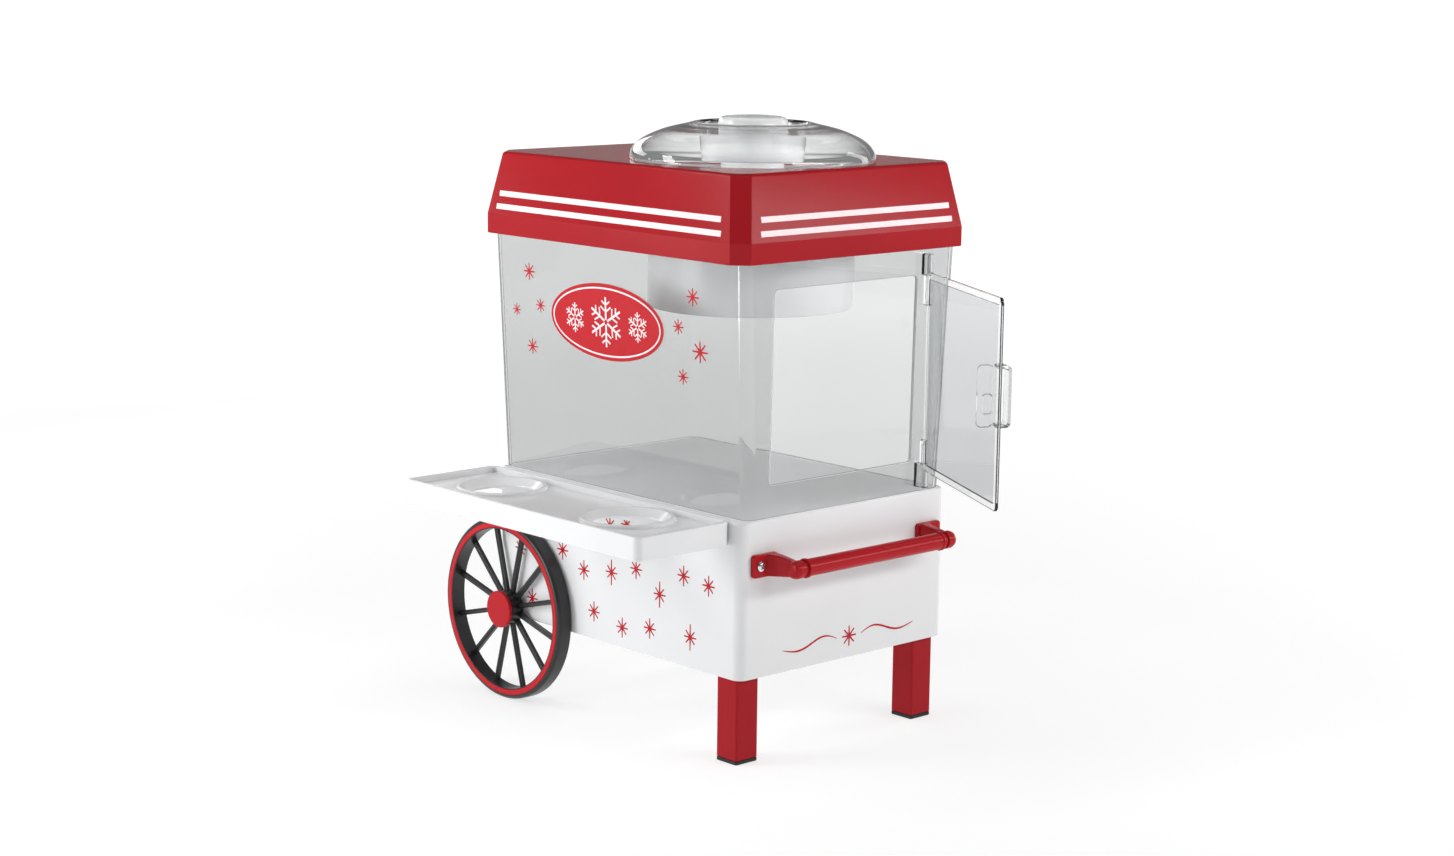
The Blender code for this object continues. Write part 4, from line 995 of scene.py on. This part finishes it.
def build_bracket(side, sign, axis):
    """Plate with round corners, an arm that sweeps out of it and the domed socket of the bar's end."""
    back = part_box("handle_bracket_" + side)[0].x
    front = back + BRACKET_PLATE
    inner_y, outer_y = 0.0680, 0.0910
    centre = ((inner_y + outer_y) / 2, axis.z - 0.0001)
    half = ((outer_y - inner_y) / 2, 0.0079)
    loops = []
    for inset, x in rounded_path([(0.002, back, 0), (0.0, back, 0.0003), (0.0, front, 0.0008),
                                  (0.002, front, 0)]):
        ring = rounded_rectangle(half[0] - inset, half[1] - inset, 0.0024 - inset * 0.6, 0, 6, centre)
        loops.append([(x, y, z) for y, z, _ in ring])
    bracket = loft("bar_bracket_" + side, loops, RED_BRIGHT)
    sections = []
    reach = axis.x - 0.0030 - (front - 0.001)
    for step in range(9):
        share = step / 8
        x = front - 0.001 + reach * share
        flare = 0.0048 * (1 - share) ** 3
        half_z = 0.0077 - 0.0022 * share ** 1.5
        outline = rounded_path([(0.0698, -half_z, 0.0012), (0.0755 + flare, -half_z, 0.0012),
                                (0.0755 + flare, half_z, 0.0012), (0.0698, half_z, 0.0012)], True, 3)
        sections.append([(x, y, axis.z + z) for y, z in outline])
    join(bracket, loft("arm", sections, None))
    socket = rounded_path([(0.0040, 0.0697, 0), (0.0062, 0.0697, 0.0005), (0.0063, 0.0745, 0.0020),
                           (0.0052, 0.0775, 0.0016), (0.0014, 0.0783, 0)], steps=5)
    place = Matrix.Translation((axis.x, 0, axis.z)) @ Matrix.Rotation(math.radians(-90), 4, "X")
    join(bracket, moved(turned("socket", socket, None, 48), place))
    bore = [(0.0043, 0.0680), (0.0043, 0.0744)]
    cut(bracket, moved(turned("bore", bore, None, 32), place))
    moved(bracket, Matrix.Diagonal((1, sign, 1, 1)))
    if sign < 0:
        bracket.data.flip_normals()
    show(even(bracket), "cart", "red_plastic", "handle_bracket_" + side)


def build_screw(side):
    """A pan-head screw with a cross recess."""
    low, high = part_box("handle_screw_" + side)
    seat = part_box("handle_bracket_" + side)[0].x + BRACKET_PLATE + GAP
    radius = (high.z - low.z) / 2
    height = high.x - seat
    path = [(0.0018, low.x - seat), (0.0018, 0.0)]
    path += rounded_path([
        (radius - 0.0002, 0.0, 0), (radius, 0.0002, 0.0001), (radius, height * 0.35, 0.0006),
        (radius * 0.62, height, 0.0020), (0.0008, height, 0),
    ], steps=5)
    screw = turned("bar_screw_" + side, path, CHROME, 48)
    for turn in (45, 135):
        arm = prism("arm", [(-0.0021, -0.00036), (0.0021, -0.00036), (0.0021, 0.00036), (-0.0021, 0.00036)],
                    height - 0.0011, height + 0.001)
        cut(screw, moved(arm, Matrix.Rotation(math.radians(turn), 4, "Z")))
    place = Matrix.Translation((seat, (low.y + high.y) / 2, (low.z + high.z) / 2))
    moved(screw, place @ Matrix.Rotation(math.radians(90), 4, "Y"))
    show(even(screw), "cart", "bright_steel", "handle_screw_" + side)


# Printed decoration.

def add_star(bm, place, size, upright):
    """Eight thin straight rays. place puts local x, y on the surface and z out of it."""
    outline = []
    half = STAR_STROKE * size / 2
    notch_reach = half / math.sin(math.radians(22.5))
    for number in range(8):
        angle = math.radians(45 * number + 90)
        reach = upright if number % 4 == 0 else STAR_REACH * size
        along = Vector((math.cos(angle), math.sin(angle)))
        across = Vector((-math.sin(angle), math.cos(angle))) * half
        notch = Matrix.Rotation(math.radians(-22.5), 2) @ along * notch_reach
        outline += [notch, along * reach - across * 0.75, along * reach + across * 0.75]
    add_prism(bm, [(p.x, p.y) for p in outline], INK_FOOT, INK, place)


def side_place(x, y, z, lean=0.0):
    """A frame on a wall that faces -Y: local x runs along +X and local y up the wall."""
    return Matrix.Translation((x, y, z)) @ Matrix.Rotation(math.radians(90) + lean, 4, "X")


def wall_y(z):
    return -cabinet_half(z)[1]


def build_stars():
    bm = bmesh.new()
    for x, z, tall in BASE_STARS:
        add_star(bm, side_place(x, BASE[0].y, z), 1.0, STAR_UPRIGHT[tall])
    show(finish_mesh("base_starbursts", bm, INK_RED), "cart", "red_plastic")
    bm = bmesh.new()
    for x, z, size in CABINET_STARS:
        add_star(bm, side_place(x, wall_y(z), z, CABINET_LEAN), size, 0.0062 * size)
    show(finish_mesh("cabinet_starbursts", bm, INK_RED), "cart", "red_plastic")


def ellipse(half_x, half_y, count=96):
    turns = [2 * math.pi * step / count for step in range(count)]
    return [(half_x * math.cos(a), half_y * math.sin(a)) for a in turns]


def add_prism(bm, outline, low, high, place):
    rings = [add_ring(bm, [place @ Vector((x, y, z)) for x, y in outline]) for z in (low, high)]
    add_bands(bm, rings)
    for ring in rings:
        bm.faces.new(ring)


def add_bar(bm, start, end, width, low, high, place):
    """A straight stroke between two points."""
    start, end = Vector(start), Vector(end)
    along = (end - start).normalized()
    across = Vector((-along.y, along.x)) * width / 2
    outline = [start - across, end - across, end + across, start + across]
    add_prism(bm, [(p.x, p.y) for p in outline], low, high, place)


def add_snowflake(bm, centre, radius, stroke, low, high, place):
    """Six arms, each with two pairs of side twigs, kept apart so that no strokes overlap."""
    centre = Vector(centre)
    for number in range(6):
        turn = Matrix.Rotation(math.radians(60 * number + 90), 2)
        start = turn @ Vector((stroke * 1.05, 0))
        add_bar(bm, centre + start, centre + turn @ Vector((radius, 0)), stroke, low, high, place)
        for reach, twig in ((0.45, 0.30), (0.72, 0.22)):
            for side in (-1, 1):
                root = Vector((radius * reach, side * stroke * 0.62))
                tip = root + Matrix.Rotation(math.radians(side * 55), 2) @ Vector((radius * twig, 0))
                add_bar(bm, centre + turn @ root, centre + turn @ tip, stroke * 0.75, low, high, place)


def build_badge():
    """A plain oval badge with snowflakes on the cabinet's shelf side."""
    place = side_place(BADGE[0], wall_y(BADGE[1]), BADGE[1], CABINET_LEAN)
    thick = 0.0006
    loops = [[(x, y, z) for x, y in ellipse(BADGE_HALF[0] - inset, BADGE_HALF[1] - inset)]
             for inset, z in ((0.0002, 0.00003), (0.0, 0.0002), (0.0, thick - 0.0002), (0.0003, thick))]
    badge = moved(loft("oval_badge", loops, INK_RED), place)
    show(even(badge), "cart", "red_plastic")
    bm = bmesh.new()
    low, high = thick + INK_FOOT, thick + 0.00012
    rings = []
    for inset, z in ((0.0026, low), (0.0026, high), (0.0038, high), (0.0038, low)):
        outline = ellipse(BADGE_HALF[0] - inset, BADGE_HALF[1] - inset)
        rings.append(add_ring(bm, [place @ Vector((x, y, z)) for x, y in outline]))
    add_bands(bm, rings, closed=True)
    add_snowflake(bm, (0.0, 0.0), 0.0175, 0.0016, low, high, place)
    for side in (-1, 1):
        add_snowflake(bm, (side * 0.0335, 0.0), 0.0105, 0.0011, low, high, place)
    show(finish_mesh("badge_snowflakes", bm, INK_WHITE), "cart", "white_plastic")


def build_flourish():
    """A plain line ornament with a star on the door end of the base."""
    bm = bmesh.new()
    place = Matrix(((0, 0, 1, BASE[1].x), (1, 0, 0, 0.004), (0, 1, 0, 0.0755), (0, 0, 0, 1)))
    for side in (-1, 1):
        points = []
        for step in range(25):
            share = step / 24
            y = 0.0042 * math.sin(share * 2 * math.pi) * (1 - share * 0.5)
            points.append(Vector((side * (0.012 + 0.052 * share), y)))
        widths = [0.0003 + 0.0012 * math.sin(math.pi * (step + 1) / 26) for step in range(25)]
        upper = [(p.x, p.y + w / 2) for p, w in zip(points, widths)]
        lower = [(p.x, p.y - w / 2) for p, w in zip(points, widths)]
        add_prism(bm, upper + lower[::-1], INK_FOOT, INK, place)
    show(finish_mesh("base_flourish", bm, INK_RED), "cart", "red_plastic")
    bm = bmesh.new()
    add_star(bm, place, 1.1, STAR_UPRIGHT[0])
    show(finish_mesh("flourish_star", bm, INK_RED), "cart", "red_plastic")


# Nodes that keep their own mesh.

KEPT = {
    "base_bottom_cover": WHITE, "hood_underpan": WHITE_INNER, "motor_bracket": WHITE_INNER,
    "motor_can": STEEL, "motor_end_cap": STEEL, "blade_disc": STEEL_ROUND, "blade_nut": CHROME,
    "ice_blade_1": CHROME, "ice_blade_2": CHROME, "drive_shaft": STEEL, "wheel_axle": STEEL_ROUND,
    "axle_nut_left": STEEL_ROUND, "axle_nut_right": STEEL_ROUND, "hinge_pin_upper": STEEL,
    "hinge_pin_lower": STEEL, "interlock_switch": BLACK, "interlock_plunger": RED_BRIGHT,
    "power_rocker": RED_BRIGHT, "lid_screw": CHROME, "leg_screw_left": CHROME, "leg_screw_right": CHROME,
    "shelf_screw_1": CHROME, "shelf_screw_2": CHROME,
    "hood_screw_1": CHROME, "hood_screw_2": CHROME, "hood_screw_3": CHROME, "hood_screw_4": CHROME,
}


def finish_kept_nodes():
    for name, material in KEPT.items():
        mesh = frame["nodes"][name].data
        mesh.materials.clear()
        mesh.materials.append(material)


# Studio.

def build_camera():
    back = Vector((math.sin(CAMERA_AZIMUTH) * math.cos(CAMERA_ELEVATION),
                   -math.cos(CAMERA_AZIMUTH) * math.cos(CAMERA_ELEVATION), math.sin(CAMERA_ELEVATION)))
    right = Vector((math.cos(CAMERA_AZIMUTH), math.sin(CAMERA_AZIMUTH), 0))
    up = back.cross(right)
    rolled_right = right * math.cos(CAMERA_ROLL) + up * math.sin(CAMERA_ROLL)
    rolled_up = up * math.cos(CAMERA_ROLL) - right * math.sin(CAMERA_ROLL)
    data = bpy.data.cameras.new("camera")
    data.lens = CAMERA_LENS
    data.sensor_width = 36.0
    data.clip_end = 200.0
    camera = bpy.data.objects.new("camera", data)
    turn = Matrix((rolled_right, rolled_up, back)).transposed()
    camera.matrix_world = Matrix.Translation(CAMERA_TARGET + back * CAMERA_DISTANCE) @ turn.to_4x4()
    bpy.context.scene.collection.objects.link(camera)
    bpy.context.scene.camera = camera


def soft_box(name, angle, distance, height, size, power):
    """An upright area light at an angle from the camera's side of the object."""
    direction = CAMERA_AZIMUTH + math.radians(angle)
    place = Vector((math.sin(direction) * distance, -math.cos(direction) * distance, height))
    data = bpy.data.lights.new(name, "AREA")
    data.shape = "RECTANGLE"
    data.size, data.size_y = size
    data.energy = power
    light = bpy.data.objects.new(name, data)
    light.location = place
    light.rotation_euler = (-Vector((place.x, place.y, 0))).to_track_quat("-Z", "Z").to_euler()
    light.visible_camera = False
    light.visible_transmission = False
    bpy.context.scene.collection.objects.link(light)


def level_ramp(nodes, links, source, stops):
    """Grey levels of the sky against (sine of elevation + 1) / 2."""
    ramp = nodes.new("ShaderNodeValToRGB")
    ramp.color_ramp.elements.remove(ramp.color_ramp.elements[1])
    for number, (position, level) in enumerate(stops):
        element = ramp.color_ramp.elements[0] if number == 0 else ramp.color_ramp.elements.new(position)
        element.position = position
        element.color = (level, level, level, 1.0)
    links.new(source, ramp.inputs["Fac"])
    return ramp.outputs["Color"]


def build_world():
    """A soft ceiling, with a bright backdrop behind the object and dimmer surroundings elsewhere."""
    world = bpy.data.worlds.new("studio")
    bpy.context.scene.world = world
    world.use_nodes = True
    nodes, links = world.node_tree.nodes, world.node_tree.links
    where = nodes.new("ShaderNodeTexCoord").outputs["Generated"]
    split = nodes.new("ShaderNodeSeparateXYZ")
    links.new(where, split.inputs["Vector"])
    height = nodes.new("ShaderNodeMapRange")
    height.inputs["From Min"].default_value = -1.0
    links.new(split.outputs["Z"], height.inputs["Value"])
    forward = nodes.new("ShaderNodeVectorMath")
    forward.operation = "DOT_PRODUCT"
    forward.inputs[1].default_value = (-math.sin(CAMERA_AZIMUTH), math.cos(CAMERA_AZIMUTH), 0.0)
    links.new(where, forward.inputs[0])
    behind = nodes.new("ShaderNodeMapRange")
    behind.inputs["From Min"].default_value = 0.45
    behind.inputs["From Max"].default_value = 0.80
    links.new(forward.outputs["Value"], behind.inputs["Value"])
    blend = nodes.new("ShaderNodeMix")
    blend.data_type = "RGBA"
    links.new(behind.outputs["Result"], blend.inputs["Factor"])
    links.new(level_ramp(nodes, links, height.outputs["Result"], SKY_AROUND), blend.inputs[6])
    links.new(level_ramp(nodes, links, height.outputs["Result"], SKY_BEHIND), blend.inputs[7])
    links.new(blend.outputs[2], nodes["Background"].inputs["Color"])


def build_floor():
    """A pale floor that glows a little more further out, so that it has no horizon line."""
    bm = bmesh.new()
    bm.faces.new([bm.verts.new((x * FLOOR_REACH, y * FLOOR_REACH, 0.0))
                  for x, y in ((-1, -1), (1, -1), (1, 1), (-1, 1))])
    material, nodes, links, shader = new_material("floor_paper")
    tone(nodes, links, shader, (0.42, 0.42, 0.42), 0.004, noise(nodes, links, 3.0))
    shader.inputs["Roughness"].default_value = 0.9
    shader.inputs["Specular IOR Level"].default_value = 0.1
    shader.inputs["Emission Color"].default_value = (1.0, 1.0, 1.0, 1.0)
    away = nodes.new("ShaderNodeVectorMath")
    away.operation = "LENGTH"
    links.new(nodes.new("ShaderNodeTexCoord").outputs["Object"], away.inputs[0])
    glow = nodes.new("ShaderNodeMapRange")
    for name, value in (("From Min", 0.5), ("From Max", 2.2), ("To Min", 0.64), ("To Max", 0.99)):
        glow.inputs[name].default_value = value
    links.new(away.outputs["Value"], glow.inputs["Value"])
    links.new(glow.outputs["Result"], shader.inputs["Emission Strength"])
    finish_mesh("floor", bm, material)


def build_studio():
    build_world()
    build_floor()
    for name, (angle, distance, height, size, power) in SOFT_BOXES.items():
        soft_box(name, angle, distance, height, size, power)
    build_camera()
    bpy.context.scene.view_settings.view_transform = "Standard"


build_base()
build_leg("left")
build_leg("right")
build_wheels()
build_cabinet()
build_door()
build_hood()
build_rear_fittings()
build_drum()
build_hopper()
build_lid()
build_shelf()
build_bar()
build_stars()
build_badge()
build_flourish()
finish_kept_nodes()
build_studio()
